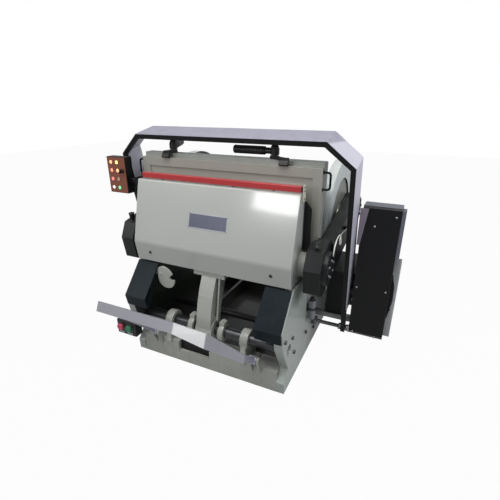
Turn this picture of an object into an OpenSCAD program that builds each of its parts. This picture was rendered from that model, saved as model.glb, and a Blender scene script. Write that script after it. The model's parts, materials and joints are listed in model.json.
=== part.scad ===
// Hand-fed platen die cutting and creasing press.
// X runs to the right of the operator, Y runs away from the operator, Z is up.
// The origin is on the floor, on the machine's middle plane, under the platen's back.

/* [Side frames and base] */
// Distance from the platen's end out to the side frame's outer face
frame_side_gap = 20; // [15:1:40]
// Thickness of each cast side frame
frame_wall = 60; // [45:1:70]
// Height of the base casting
base_h = 160; // [140:5:180]
// Thickness of the base casting's floor and walls
base_wall = 25; // [15:1:35]
// Reach of the base in front of the origin
base_front = 400; // [385:5:420]
// Reach of the base behind the origin
base_rear = 850; // [840:5:950]
// Radius of the holes for the floor anchors
anchor_hole_r = 11; // [8:1:14]

/* [Bed, chase and die] */
// Clearance between the bed's ends and the side rods
bed_side_gap = 6; // [4:1:12]
// Thickness of the fixed bed plate
bed_t = 80; // [60:1:90]
// Distance of the bed's working face behind the origin
bed_y = -10; // [-15:1:0]
// Height of the bed's underside over the floor
bed_bottom = 735; // [725:1:745]
// Height of the bed's top edge over the floor
bed_top = 1505; // [1490:1:1530]
// Thickness of the removable chase
chase_t = 40; // [36:1:50]
// Width of the chase's border
chase_rail = 62; // [40:1:90]
// Drop of the chase's top under the bed's top
chase_drop = 30; // [20:1:45]
// Thickness of the plywood die board
board_t = 18; // [12:1:25]
// Height of the steel rules over the die board
rule_h = 9; // [5:1:11]
// How far the steel rules stand proud of the chase
rule_proud = 5; // [3:1:8]
// Thickness of the steel rules
rule_t = 3; // [2:0.5:5]

/* [Platen] */
// Half width of the moving platen
platen_half_w = 600; // [560:1:602]
// Thickness of the platen casting
platen_t = 60; // [50:1:66]
// Throat between the cutting plate and the chase when closed
throat = 22; // [18:1:40]
// Thickness of the hardened cutting plate
cutting_plate_t = 8; // [4:1:12]
// Height of the platen's lower edge over the floor
platen_bottom = 764; // [762:1:790]
// Height of the platen's top edge over the floor
platen_top = 1336; // [1300:1:1360]
// Depth of the platen's stiffening ribs
rib_depth = 50; // [30:1:55]
// Angle from closed to fully open
platen_open_deg = 45; // [35:1:50]
// Distance of the rocking pivot in front of the origin
pivot_front = 330; // [325:1:335]
// Height of the rocking pivot over the floor
pivot_h = 320; // [315:1:325]
// Radius of the rocking shaft
pivot_r = 40; // [30:1:45]
// Radius of the trunnion pins
trunnion_r = 60; // [45:1:65]
// Height of the trunnions above the platen's lower edge
trunnion_rise = 103; // [95:1:115]

/* [Platen cover] */
// Thickness of the folded cover sheet
cover_t = 4; // [2:0.5:6]
// Side clearance between cover and platen
cover_side_gap = 3; // [2:0.5:5]
// Stand-off of the cover's top fold in front of the platen
cover_top_off = 75; // [65:1:80]
// Stand-off of the cover's lower crease in front of the platen
cover_crease_off = 190; // [170:1:200]
// Height of the cover's lower crease over the platen's lower edge
cover_crease_h = 139; // [120:1:150]
// Stand-off of the cover's lower edge in front of the platen
cover_foot_off = 167; // [155:1:170]
// Height of the brake bar
bar_h = 36; // [25:1:45]
// Travel of the brake bar
bar_travel = 8; // [4:0.5:12]

/* [Drive] */
// Distance of the crank shaft behind the origin
crank_y = 625; // [620:1:640]
// Height of the crank shaft over the floor
crank_h = 985; // [975:1:990]
// Radius of the crank shaft
crank_shaft_r = 55; // [40:1:65]
// Gear module
gear_module = 10; // [9.8:0.1:10.1]
// Teeth of each main gear
gear_teeth = 86; // [84:1:86]
// Teeth of each pinion
pinion_teeth = 15; // [15:1:16]
// Face width of the main gears
gear_w = 44; // [34:1:46]
// Radius of the pinion shaft
pinion_shaft_r = 35; // [25:1:45]
// Thickness of each side rod
rod_t = 104; // [80:1:110]
// Radius of the flywheel
flywheel_r = 285; // [260:1:290]
// Width of the flywheel's rim
flywheel_w = 115; // [90:1:120]
// Radius of the motor pulley
pulley_r = 57; // [50:1:60]
// Radius of the motor's body
motor_r = 100; // [80:1:105]

/* [Belt cover] */
// Clearance between the hoop and the belt cover
belt_cover_gap = 29; // [25:1:40]
// Width of the belt cover
belt_cover_w = 246; // [240:1:256]
// Clearance between the motor pulley and the bottom of the belt cover
pulley_gap = 18; // [12:1:30]
// Height of the belt cover's top over the floor
belt_cover_top = 1210; // [1150:5:1250]
// Distance of the belt cover's front behind the origin
belt_cover_y = 220; // [200:1:240]
// Sheet thickness of the covers
sheet = 3; // [2:0.5:5]
// Half height and half length of the flywheel guard
fly_guard_r = 323; // [300:1:325]
// Fall of the flywheel guard's top towards the rear, in degrees
fly_guard_slope = 25; // [22:1:28]
// How far the flywheel guard stands out from the belt cover
guard_depth = 45; // [30:1:80]
// Thickness of the flywheel guard's lug
lug_t = 8; // [6:1:12]

/* [Safety hoop] */
// Clearance between the rods' outer faces and the hoop's legs
hoop_side_gap = 50; // [45:1:60]
// Half width of the hoop's top bar
hoop_top_half_w = 706; // [660:1:740]
// Length of the hoop's legs from the pivot to the shoulders
hoop_leg = 1303; // [1280:1:1320]
// Rise from the shoulders to the top bar
hoop_rise = 154; // [150:1:180]
// Width of the black front rim
hoop_rim = 35; // [20:1:36]
// Depth of the sheet skin at the top
hoop_depth = 200; // [180:5:210]
// Forward lean of the hoop
hoop_lean = 12.5; // [11.5:0.5:13.5]
// Distance of the hoop's pivot behind the origin
hoop_pivot_y = 245; // [235:1:255]
// Height of the hoop's pivot over the floor
hoop_pivot_h = 215; // [208:1:230]

/* [Foot bar, buttons and clamps] */
// Half spacing of the foot bar's arms
foot_arm_x = 410; // [390:1:430]
// Height of the foot bar's hinge over the floor
foot_hinge_h = 238; // [232:1:245]
// Height of the foot bar's front face
foot_bar_h = 67; // [50:1:90]
// Thickness of the foot bar's plate
foot_bar_t = 12; // [8:1:16]
// Length of a clamp handle
clamp_handle_l = 300; // [200:5:320]
// Radius of a clamp handle
clamp_handle_r = 28; // [20:1:30]
// Travel of the push buttons
button_travel = 6; // [3:0.5:8]

/* [Hidden] */
$fn = 64;

run_fit = 0.05;
face_gap = 0.3;

// Across the machine, from the platen outwards: frame, gears, guards, rods, hoop and belt cover
gear_gap = 20;
frame_half_w = platen_half_w + frame_side_gap;
frame_in = frame_half_w - frame_wall;
gear_x = frame_half_w + gear_gap;
guard_face_x = gear_x + gear_w + 2;
rod_x = guard_face_x + sheet + 7;
rod_out = rod_x + rod_t;
bed_half_w = rod_x - bed_side_gap;
hoop_half_w = rod_out + hoop_side_gap + hoop_rim;
belt_cover_x = hoop_half_w + belt_cover_gap;

// Closed platen, worked out from the chase's face forwards
chase_y = bed_y - chase_t;
chase_half_w = bed_half_w - 2;
chase_top = bed_top - chase_drop;
chase_bottom = bed_bottom + chase_drop;
board_y = chase_y + rule_h;
platen_back = chase_y - throat - cutting_plate_t;
platen_front = platen_back - platen_t;
trunnion_y = platen_front + 10;
trunnion_h = platen_bottom + trunnion_rise;
cover_half_w = platen_half_w + cover_side_gap + cover_t;
cover_crease_z = platen_bottom + cover_crease_h;
cover_foot_z = platen_bottom - 6;

// Rocking pivot and crank: the crank's half turn opens the platen fully
pivot = [-pivot_front, pivot_h];
trunnion = [trunnion_y, trunnion_h];
crank = [crank_y, crank_h];
function turned(p, a) = [p[0] * cos(a) - p[1] * sin(a), p[0] * sin(a) + p[1] * cos(a)];
trunnion_open = pivot + turned(trunnion - pivot, platen_open_deg);
crank_r = (norm(crank - trunnion_open) - norm(crank - trunnion)) / 2;
rod_len = norm(crank - trunnion) + crank_r;
rod_tilt = atan2(crank[1] - trunnion[1], crank[0] - trunnion[0]);

// Waste tray in the base's front
tray_x = [-226, 30];
tray_sill = 97;
tray_top = 212;

// Gear train
gear_r = gear_module * gear_teeth / 2;
pinion_r = gear_module * pinion_teeth / 2;
pinion_axis = crank - [0, gear_r + pinion_r];
guard_r = gear_r + 27;
guard_hole_r = crank_r + 96;
pinion_guard_r = pinion_r + 30;
boss_r = 80;
head_x = frame_half_w + 48;
head_out = rod_out - 25;
cup_x = rod_x + 30;

// Belt drive
fly_x = belt_cover_x + 50;
groove_pitch = 30;
belt_h = 10;
pulley_axis = pinion_axis + [275, -225];
cover_end_x = belt_cover_x + belt_cover_w;
belt_cover_end = pulley_axis[0] + pulley_r + 38;
belt_cover_bottom = pulley_axis[1] - pulley_r - pulley_gap;

// Hoop, measured along its lean
hoop_top = hoop_leg + hoop_rise;
hoop_lug_in = hoop_half_w - hoop_rim;
hoop_rod_r = 15;

// Foot bar
foot_hinge = [-430, foot_hinge_h];
foot_shaft_r = 16;
foot_face = [[-720, 590], [-748, 590 - foot_bar_h * 0.91]];

// Clamps on the bed's top: place, handle direction and hook direction
clamp_y = bed_y + 45;
clamp_off = [230, 349];
hook_off = [225, 253];
clamps = [[clamp_off[0] - bed_half_w, 115, hook_off[0] - bed_half_w],
    [bed_half_w - clamp_off[1], 180, bed_half_w - hook_off[1]]];
clamp_arm_t = 24;
clamp_spindle_r = 12;
clamp_z = bed_top + clamp_arm_t + 24;

// Lock hook
hook_pin = [-385, 688];
hook_y = -322;

// Button station and panel
station = [-728, -500, 180];
station_size = [178, 70, 117];
station_buttons = [[-690, "red"], [-610, "green"]];
station_button_z = 242;
panel = [-930, -170, 1207];
panel_size = [175, 70, 267];

// Oil line on the right side rod: hand-laid points with one loop
oil_points = [[0, -118, 952], [0, -117, 966], [0, -108, 990], [0, -88, 1014], [0, -58, 1034], [0, -18, 1044],
    [1, 24, 1046], [3, 54, 1036], [6, 66, 1010], [9, 48, 986], [10, 18, 984], [9, 2, 1004],
    [8, 14, 1028], [6, 48, 1040], [3, 96, 1036], [0, 150, 1028], [0, 200, 1020], [0, 250, 1014],
    [0, 280, 1012], [0, 290, 1012]];
oil_r = 4;
trunnion_cap_t = 6;
oil_x = rod_out + trunnion_cap_t + oil_r + face_gap;

// ---- shapes that repeat ----
module plate_yz(x0, x1, pts) {
    translate([x0, 0, 0]) rotate([90, 0, 90]) linear_extrude(x1 - x0) polygon(pts);
}
module shape_yz(x0, x1) {
    translate([x0, 0, 0]) rotate([90, 0, 90]) linear_extrude(x1 - x0) children();
}
module bar_x(x0, x1, p, r) {
    translate([x0, p[0], p[1]]) rotate([0, 90, 0]) cylinder(h = x1 - x0, r = r);
}
module bar_y(y0, y1, x, z, r) {
    translate([x, y0, z]) rotate([-90, 0, 0]) cylinder(h = y1 - y0, r = r);
}
module box_at(lo, hi) {
    translate(lo) cube(hi - lo);
}
module hex_head(r, h) {
    cylinder(h = h, r = r, $fn = 6);
}
module both_sides() {
    children();
    mirror([1, 0, 0]) children();
}
module side(left) {
    if (left) mirror([1, 0, 0]) children();
    else children();
}
function curve(a, b, c, n = 8) =
    [for (i = [0 : n]) let (t = i / n) pow(1 - t, 2) * a + 2 * t * (1 - t) * b + t * t * c];

// Straight-flanked gear outline with a tooth centred on the angle phase
module gear_outline(teeth, phase) {
    r = gear_module * teeth / 2;
    half = 90 / teeth;
    polygon([for (i = [0 : teeth - 1], k = [[-0.56, -1.2], [-0.2, 0.8], [0.2, 0.8], [0.56, -1.2]])
        let (a = phase + i * 360 / teeth + k[0] * half * 1.5, q = r + k[1] * gear_module)
        [q * cos(a), q * sin(a)]]);
}

// ---- base and frames ----
module base() color("#b9bcb2") difference() {
    union() {
        box_at([-frame_in, -base_front, 0], [frame_in, base_rear, base_wall]);
        box_at([-frame_in, -base_front, 0], [frame_in, -base_front + base_wall, base_h]);
        box_at([-frame_in, -base_front, base_h - base_wall], [frame_in, -base_front + 150, base_h]);
        box_at([-frame_in, base_rear - base_wall, 0], [frame_in, base_rear, base_h]);
        for (x = [-frame_in / 2, frame_in / 2 - base_wall])
            box_at([x, -base_front, 0], [x + base_wall, base_rear, base_h]);
    }
    box_at([tray_x[0] - 4, -base_front - 1, tray_sill], [tray_x[1] + 4, -base_front + 151, base_h + 1]);
    for (x = [-1, 1] * (frame_in - 60), y = [-base_front + 75, base_rear - 75])
        translate([x, y, -1]) cylinder(h = base_wall + 2, r = anchor_hole_r);
}

tray_depth = 112;
module waste_tray() color("#17181b") difference() {
    y = [-base_front + base_wall + 3, -base_front + base_wall + 3 + tray_depth];
    box_at([tray_x[0], y[0], base_wall], [tray_x[1], y[1], tray_top]);
    box_at([tray_x[0] + sheet, y[0] + sheet, base_wall + sheet],
        [tray_x[1] - sheet, y[1] - sheet, tray_top + 1]);
}

module frame_outline() {
    difference() {
        polygon([[-base_front, 0], [-base_front - 5, 85], [-331, base_h + 5], [-453, 381], [-483, 529],
            [-294, bed_bottom + 7], [-240, bed_bottom], [bed_y + bed_t + 5, bed_bottom],
            [bed_y + bed_t + 5, bed_top - 70], [bed_y + bed_t + 120, bed_top - 70],
            [crank_y - 70, crank_h + 170], [crank_y + 70, crank_h + 150], [crank_y + 170, crank_h],
            [crank_y + 130, crank_h - 285], [base_rear, 400], [base_rear, 0]]);
        translate(crank) circle(r = crank_shaft_r + 6);
        translate(pinion_axis) circle(r = pinion_shaft_r + 6);
        translate(pivot) circle(r = pivot_r + run_fit);
    }
}
module side_frame_right() color("#c6cbc1") shape_yz(frame_in, frame_half_w) frame_outline();
module side_frame_left() color("#c6cbc1") mirror([1, 0, 0])
    shape_yz(frame_in, frame_half_w) frame_outline();

tie_places = [[base_rear - 110, 330], [bed_y + bed_t + 60, bed_top - 110], [60, base_h + 60]];
module cross_ties() color("#a9ada4") for (p = tie_places) bar_x(-frame_in, frame_in, p, 28);

// ---- bed, chase and die ----
module bed() color("#c3c4ba") {
    box_at([-bed_half_w, bed_y, bed_bottom], [bed_half_w, bed_y + bed_t, bed_top]);
    box_at([-bed_half_w + 40, chase_y + 4, bed_bottom],
        [bed_half_w - 40, bed_y, chase_bottom]);
}
module bed_ribs() color("#b5b8ae") {
    y0 = bed_y + bed_t;
    for (z = [bed_bottom + 40, (bed_bottom + bed_top) / 2, bed_top - 190])
        box_at([-frame_in, y0, z], [frame_in, y0 + 90, z + 35]);
    for (i = [-2 : 2], z = [[bed_bottom + 75, (bed_bottom + bed_top) / 2],
        [(bed_bottom + bed_top) / 2 + 35, bed_top - 190]])
        box_at([i * 240 - 17, y0, z[0]], [i * 240 + 17, y0 + 90, z[1]]);
}
module die_chase() color("#bdb9a6") difference() {
    box_at([-chase_half_w, chase_y, chase_bottom], [chase_half_w, bed_y, chase_top]);
    box_at([-chase_half_w + chase_rail, chase_y - 1, chase_bottom + chase_rail],
        [chase_half_w - chase_rail, board_y + board_t, chase_top - chase_rail]);
}
module die_board() color("#b98b55")
    box_at([-chase_half_w + chase_rail, board_y, chase_bottom + chase_rail],
        [chase_half_w - chase_rail, board_y + board_t, chase_top - chase_rail]);
module rule_ring(x, z, w, h) {
    translate([x, board_y, z]) rotate([90, 0, 0]) linear_extrude(rule_h + rule_proud) difference() {
        square([w, h], center = true);
        square([w - 2 * rule_t, h - 2 * rule_t], center = true);
    }
}
module cutting_rules() color("#8b8f93") {
    zc = (chase_bottom + chase_top) / 2;
    for (x = [-270, 270], z = [zc - 130, zc + 130]) rule_ring(x, z, 400, 200);
}
module d_handle(z0, z1, reach, r) {
    for (z = [z0, z1]) translate([0, 0, z]) rotate([0, 90, 0]) cylinder(h = reach, r = r);
    translate([reach, 0, z0]) cylinder(h = z1 - z0, r = r);
    for (z = [z0, z1]) translate([reach, 0, z]) sphere(r = r);
}
handle_reach = 45;
handle_r = 7;
handle_z = [chase_top - 130, chase_top - 25];
module chase_handles() color("#252b3d") both_sides()
    translate([chase_half_w, bed_y - chase_t / 2, 0])
        d_handle(handle_z[0], handle_z[1], handle_reach, handle_r);

// ---- clamps on the bed ----
module clamp_hooks() color("#20222a") for (c = clamps) {
    tip = [c[2], chase_y - 14];
    translate([0, 0, bed_top]) linear_extrude(clamp_arm_t) difference() {
        hull() {
            translate([c[0], clamp_y]) circle(r = 28);
            translate(tip) circle(r = 12);
        }
        translate([c[0], clamp_y]) circle(r = clamp_spindle_r + run_fit);
    }
    box_at([tip[0] - 28, tip[1] - 14, chase_top - 30],
        [tip[0] + 28, tip[1] + 14 - face_gap, bed_top + clamp_arm_t - 3]);
}
module clamp_handle(c) {
    z0 = bed_top + clamp_arm_t + face_gap;
    translate([c[0], clamp_y, 0]) {
        translate([0, 0, bed_top + face_gap]) cylinder(h = clamp_arm_t + 20, r = clamp_spindle_r);
        translate([0, 0, z0]) cylinder(h = 42, r = 30);
        translate([0, 0, z0 + 42]) sphere(r = 27);
        rotate([0, 0, c[1]]) translate([20, 0, clamp_z]) rotate([0, 90, 0]) {
            cylinder(h = clamp_handle_l - 20, r = clamp_handle_r * 0.75);
            translate([0, 0, 50]) cylinder(h = clamp_handle_l - 70, r = clamp_handle_r);
        }
    }
}
module clamp_left() color("#20222a") clamp_handle(clamps[0]);
module clamp_right() color("#20222a") clamp_handle(clamps[1]);

// ---- rocking pivot ----
module pivot_shaft() color("#8d9298") bar_x(-frame_in - 30, frame_in + 30, pivot, pivot_r);
pedestal_x = frame_in / 2 + 10;
module pivot_pedestals() color("#b4b8ae") both_sides() difference() {
    union() {
        plate_yz(pedestal_x, pedestal_x + 40, [[pivot[0] - 110, base_wall], [pivot[0] + 150, base_wall],
            [pivot[0] + 60, pivot[1]], [pivot[0] - 60, pivot[1]]]);
        bar_x(pedestal_x - 10, pedestal_x + 50, pivot, pivot_r + 28);
        box_at([pedestal_x - 60, pivot[0] - 70, base_h], [pedestal_x + 100, pivot[0] + 70, base_h + 12]);
    }
    bar_x(pedestal_x - 90, pedestal_x + 110, pivot, pivot_r + run_fit);
    box_at([-1, -base_front - 100, 0], [frame_in, -base_front + 151, base_h]);
}
module shaft_collars() color("#9a9da0") for (x = [104, -144]) difference() {
    union() {
        bar_x(x, x + 40, pivot, pivot_r + 26);
        box_at([x, pivot[0] - 26, pivot[1] + 20], [x + 40, pivot[0] + 26, pivot[1] + pivot_r + 48]);
        for (y = [-14, 14]) translate([x + 20, pivot[0] + y, pivot[1] + pivot_r + 48]) hex_head(9, 8);
    }
    bar_x(x - 1, x + 41, pivot, pivot_r + run_fit);
}
shin_in = 430;
module shin_panels() color("#232a3a") both_sides() {
    edge = [[-294, bed_bottom + 7], [-483, 529], [-467, 450]];
    out = [[-9, 0.5], [-9, 1.5], [-9, -1.5]];
    fit = [[-0.6, 0.3], [-0.6, 0], [-0.6, -0.2]];
    plate_yz(shin_in, frame_half_w - 8, concat(edge + out, [for (i = [2 : -1 : 0]) edge[i] + fit[i]]));
    plate_yz(shin_in, shin_in + sheet, [edge[0] + fit[0] + [-1, -3], edge[1] + fit[1], edge[2] + fit[2],
        [-450, 458], [-445, 505], [-404, 609]]);
}

// ---- bearings ----
module flanged_bearing(x, p, r, out) {
    difference() {
        bar_x(out > 0 ? x : x - 16, out > 0 ? x + 16 : x, p, r + 48);
        bar_x(x - 20, x + 20, p, r + run_fit);
    }
}
module bearing_housings() color("#7f8488") {
    both_sides() {
        flanged_bearing(frame_half_w, crank, crank_shaft_r, 1);
        flanged_bearing(frame_in, crank, crank_shaft_r, -1);
        flanged_bearing(frame_half_w, pinion_axis, pinion_shaft_r, 1);
        flanged_bearing(frame_in, pinion_axis, pinion_shaft_r, -1);
    }
    flanged_bearing(belt_cover_x, pinion_axis, pinion_shaft_r, -1);
}

// ---- gears ----
module gear_guard() {
    shape_yz(frame_half_w, guard_face_x) difference() {
        union() {
            translate(crank) circle(r = guard_r);
            translate(pinion_axis) circle(r = pinion_guard_r);
        }
        translate(crank) circle(r = guard_r - sheet);
        translate(pinion_axis) circle(r = pinion_guard_r - sheet);
    }
    shape_yz(guard_face_x, guard_face_x + sheet) difference() {
        union() {
            translate(crank) circle(r = guard_r);
            translate(pinion_axis) circle(r = pinion_guard_r);
        }
        translate(crank) circle(r = guard_hole_r);
        translate(pinion_axis) circle(r = pinion_shaft_r + 8);
    }
}
module gear_guard_right() color("#d8dcda") gear_guard();
module gear_guard_left() color("#d8dcda") side(true) gear_guard();

module main_gear() {
    pin = crank + crank_r * [cos(rod_tilt), sin(rod_tilt)];
    difference() {
        union() {
            shape_yz(gear_x, gear_x + gear_w) difference() {
                translate(crank) gear_outline(gear_teeth, 90 + 180 / gear_teeth);
                translate(crank) circle(r = gear_r - 45);
            }
            bar_x(gear_x + 12, gear_x + gear_w - 8, crank, gear_r - 45);
            bar_x(gear_x - 2, gear_x + gear_w, crank, crank_shaft_r + 50);
            bar_x(gear_x + 12, rod_x - face_gap, pin, boss_r);
        }
        bar_x(gear_x - 5, gear_x + gear_w + 1, crank, crank_shaft_r + run_fit);
    }
}
module main_gear_right() color("#6f757a") main_gear();
module main_gear_left() color("#6f757a") side(true) main_gear();
module crank_shaft() color("#a3a8ad") bar_x(-gear_x - gear_w, gear_x + gear_w, crank, crank_shaft_r);

module pinion_shaft() color("#8d9298") {
    bar_x(-gear_x - gear_w, fly_x + flywheel_w + 20, pinion_axis, pinion_shaft_r);
    both_sides() shape_yz(gear_x - 2, gear_x + gear_w) difference() {
        translate(pinion_axis) gear_outline(pinion_teeth, 90);
        translate(pinion_axis) circle(r = pinion_shaft_r);
    }
}
module clutch_hub() color("#5d6368") difference() {
    union() {
        bar_x(belt_cover_x + 16, belt_cover_x + 28, pinion_axis, 125);
        bar_x(belt_cover_x + 8, fly_x - 4, pinion_axis, 70);
    }
    bar_x(belt_cover_x, fly_x, pinion_axis, pinion_shaft_r + run_fit);
}

// ---- flywheel, belts and motor ----
module grooves(x, p, r, w) {
    for (i = [-0.5, 0.5]) difference() {
        bar_x(x + w / 2 + i * groove_pitch - 8, x + w / 2 + i * groove_pitch + 8, p, r + 1);
        bar_x(x + w / 2 + i * groove_pitch - 9, x + w / 2 + i * groove_pitch + 9, p, r - belt_h - 1.5);
    }
}
module flywheel() color("#3c4044") difference() {
    union() {
        difference() {
            bar_x(fly_x, fly_x + flywheel_w, pinion_axis, flywheel_r);
            bar_x(fly_x - 1, fly_x + flywheel_w + 1, pinion_axis, flywheel_r - 45);
        }
        bar_x(fly_x + 40, fly_x + flywheel_w - 40, pinion_axis, flywheel_r - 44);
        bar_x(fly_x, fly_x + flywheel_w, pinion_axis, pinion_shaft_r + 40);
    }
    bar_x(fly_x - 1, fly_x + flywheel_w + 1, pinion_axis, pinion_shaft_r + run_fit);
    grooves(fly_x, pinion_axis, flywheel_r, flywheel_w);
}
module motor_pulley() color("#55595d") difference() {
    union() {
        bar_x(fly_x, fly_x + flywheel_w, pulley_axis, pulley_r);
        bar_x(belt_cover_x - 24, fly_x, pulley_axis, 19);
    }
    grooves(fly_x, pulley_axis, pulley_r, flywheel_w);
}
module belt_outline(grow) {
    hull() {
        translate(pinion_axis) circle(r = flywheel_r - belt_h - 1 + grow);
        translate(pulley_axis) circle(r = pulley_r - belt_h - 1 + grow);
    }
}
module v_belts() color("#1c1c1c") for (i = [-0.5, 0.5])
    shape_yz(fly_x + flywheel_w / 2 + i * groove_pitch - 6, fly_x + flywheel_w / 2 + i * groove_pitch + 6)
        difference() {
            belt_outline(belt_h);
            belt_outline(0);
        }
motor_x = frame_half_w + 90;
motor_end_x = belt_cover_x - 26;
module motor() color("#4a5a63") {
    bar_x(motor_x + 40, motor_end_x, pulley_axis, motor_r - 8);
    for (i = [0 : 5]) bar_x(motor_x + 50 + i * 22, motor_x + 60 + i * 22, pulley_axis, motor_r);
    bar_x(motor_x, motor_x + 40, pulley_axis, motor_r - 2);
    for (y = [-1, 1] * (motor_r * 0.6)) box_at([motor_x + 20, pulley_axis[0] + y - 18, motor_foot_z],
        [motor_end_x - 20, pulley_axis[0] + y + 18, pulley_axis[1] - motor_r * 0.6]);
}
motor_foot_z = pulley_axis[1] - motor_r - 12;
module cover_outline() {
    polygon([[belt_cover_y, belt_cover_bottom + 40], [belt_cover_y, belt_cover_top - 14],
        [belt_cover_y + 20, belt_cover_top], [belt_cover_y + 125, belt_cover_top],
        [belt_cover_end, belt_cover_top - 600], [belt_cover_end, belt_cover_bottom],
        [belt_cover_y + 40, belt_cover_bottom]]);
}
module cover_inner() {
    polygon([[belt_cover_y + sheet, belt_cover_bottom + 40], [belt_cover_y + sheet, belt_cover_top - 17],
        [belt_cover_y + 22, belt_cover_top - sheet], [belt_cover_y + 123, belt_cover_top - sheet],
        [belt_cover_end - sheet, belt_cover_top - 602],
        [belt_cover_end - sheet, belt_cover_bottom + sheet],
        [belt_cover_y + 40, belt_cover_bottom + sheet]]);
}
module belt_cover() color("#23252c") difference() {
    union() {
        shape_yz(belt_cover_x + sheet, cover_end_x - sheet) difference() {
            cover_outline();
            cover_inner();
        }
        shape_yz(belt_cover_x, belt_cover_x + sheet) cover_outline();
        shape_yz(cover_end_x - sheet, cover_end_x) cover_outline();
    }
    bar_x(belt_cover_x - 1, belt_cover_x + sheet + 1, pinion_axis, pinion_shaft_r + 8);
    bar_x(belt_cover_x - 1, belt_cover_x + sheet + 1, pulley_axis, 26);
}
bracket_t = 40;
module drive_brackets() color("#7d817b") {
    for (back = [120, 470]) box_at([frame_half_w, belt_cover_y + back, belt_cover_bottom + bracket_t],
        [belt_cover_x, belt_cover_y + back + 50, belt_cover_bottom + 2 * bracket_t]);
    box_at([frame_half_w, pulley_axis[0] - 130, motor_foot_z - 14],
        [motor_end_x, pulley_axis[0] + 60, motor_foot_z]);
    for (y = [-130, -90]) box_at([frame_half_w, pulley_axis[0] + y, base_wall],
        [frame_half_w + 120, pulley_axis[0] + y + 14, motor_foot_z - 14]);
}
// Sheets that close the pinion side, and the lug that holds the flywheel guard
module drive_guard() {
    drive_sheets();
    guard_lug();
}
module drive_sheets() color("#1b1d22") {
    x = [guard_face_x + sheet + 5, hoop_lug_in + 18];
    y = [belt_cover_y + 125, belt_cover_y + 560];
    z = [pinion_axis[1] - 218, pinion_axis[1] + 160];
    box_at([x[0], y[0], z[0]], [x[1], y[0] + sheet, z[1]]);
    box_at([x[0], y[0], z[1] - sheet], [x[1], y[1], z[1]]);
    box_at([x[1] - 1, y[1] - 260, z[1] - sheet], [belt_cover_x, y[1], z[1]]);
    difference() {
        box_at([x[1] - sheet, y[0], z[0] + 60], [x[1], y[1], z[1]]);
        bar_x(x[1] - 10, x[1] + 10, pinion_axis, pinion_shaft_r + 8);
    }
}
guard_centre = pinion_axis + [0, 37];
module guard_outline(wall) {
    a = fly_guard_r - wall;
    fall = tan(fly_guard_slope);
    rim = fly_guard_r - wall / cos(fly_guard_slope);
    translate(guard_centre)
        polygon([[-a, -a], [a, -a], [a, rim - (fly_guard_r + a) * fall], [-a, rim - wall * fall]]);
}
module flywheel_guard() color("#a9acaa") {
    shape_yz(cover_end_x, cover_end_x + guard_depth - sheet) difference() {
        guard_outline(0);
        guard_outline(sheet);
    }
    shape_yz(cover_end_x + guard_depth - sheet, cover_end_x + guard_depth) guard_outline(0);
}
module guard_lug() color("#1d1f24") translate([cover_end_x, guard_centre[0] - fly_guard_r, guard_centre[1]])
    rotate([90, 0, 0]) {
        linear_extrude(lug_t) polygon([[2, -164], [5, -168], [28, -16], [26, 86], [5, 193], [2, 189]]);
        for (z = [-87, 118]) translate([14, z, lug_t]) hex_head(9, 7);
    }

// ---- safety hoop ----
module in_hoop() {
    translate([0, hoop_pivot_y, hoop_pivot_h]) rotate([hoop_lean, 0, 0]) children();
}
function hoop_line(off, low) = [[-hoop_half_w + off, low], [-hoop_half_w + off, hoop_leg - off * 0.4],
    [-hoop_top_half_w + off * 0.4, hoop_top - off], [hoop_top_half_w - off * 0.4, hoop_top - off],
    [hoop_half_w - off, hoop_leg - off * 0.4], [hoop_half_w - off, low]];
module hoop_sheet(y0, y1, off0, off1, low) {
    translate([0, y1, 0]) rotate([90, 0, 0]) linear_extrude(y1 - y0) difference() {
        polygon(hoop_line(off0, low));
        polygon(hoop_line(off1, low - 1));
    }
}
module hoop_frame() color("#1e2028") in_hoop() {
    hoop_sheet(-12, 12, sheet, hoop_rim, 60);
    both_sides() difference() {
        box_at([hoop_lug_in, -12, -34], [hoop_half_w - sheet, 34, 60]);
        translate([hoop_lug_in - 1, 10, 0]) rotate([0, 90, 0])
            cylinder(h = hoop_rim + 2, r = hoop_rod_r + run_fit);
    }
}
module hoop_skin() color("#cfcfd8") in_hoop() difference() {
    hoop_sheet(-12, hoop_depth, 0, sheet, 200);
    both_sides() translate([hoop_half_w - 10, 0, 0]) rotate([90, 0, 90]) linear_extrude(40)
        polygon([[20, 199], [hoop_depth + 20, 199], [hoop_depth + 20, 400], [hoop_depth, 400]]);
}
hoop_rod_y = hoop_pivot_y + 10 * cos(hoop_lean);
hoop_rod_h = hoop_pivot_h + 10 * sin(hoop_lean);
module hoop_pivot_rods() color("#85898c") both_sides() {
    p = [hoop_rod_y, hoop_rod_h];
    bar_x(frame_half_w, hoop_half_w + 8, p, hoop_rod_r);
    difference() {
        bar_x(frame_half_w, frame_half_w + 40, p, hoop_rod_r + 22);
        bar_x(frame_half_w - 1, frame_half_w + 41, p, hoop_rod_r);
    }
    difference() {
        bar_x(hoop_half_w + 1, hoop_half_w + 20, p, hoop_rod_r + 10);
        bar_x(hoop_half_w, hoop_half_w + 21, p, hoop_rod_r);
    }
    difference() {
        bar_x(hoop_lug_in - 20, hoop_lug_in - 1, p, hoop_rod_r + 10);
        bar_x(hoop_lug_in - 21, hoop_lug_in, p, hoop_rod_r);
    }
}

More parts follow.
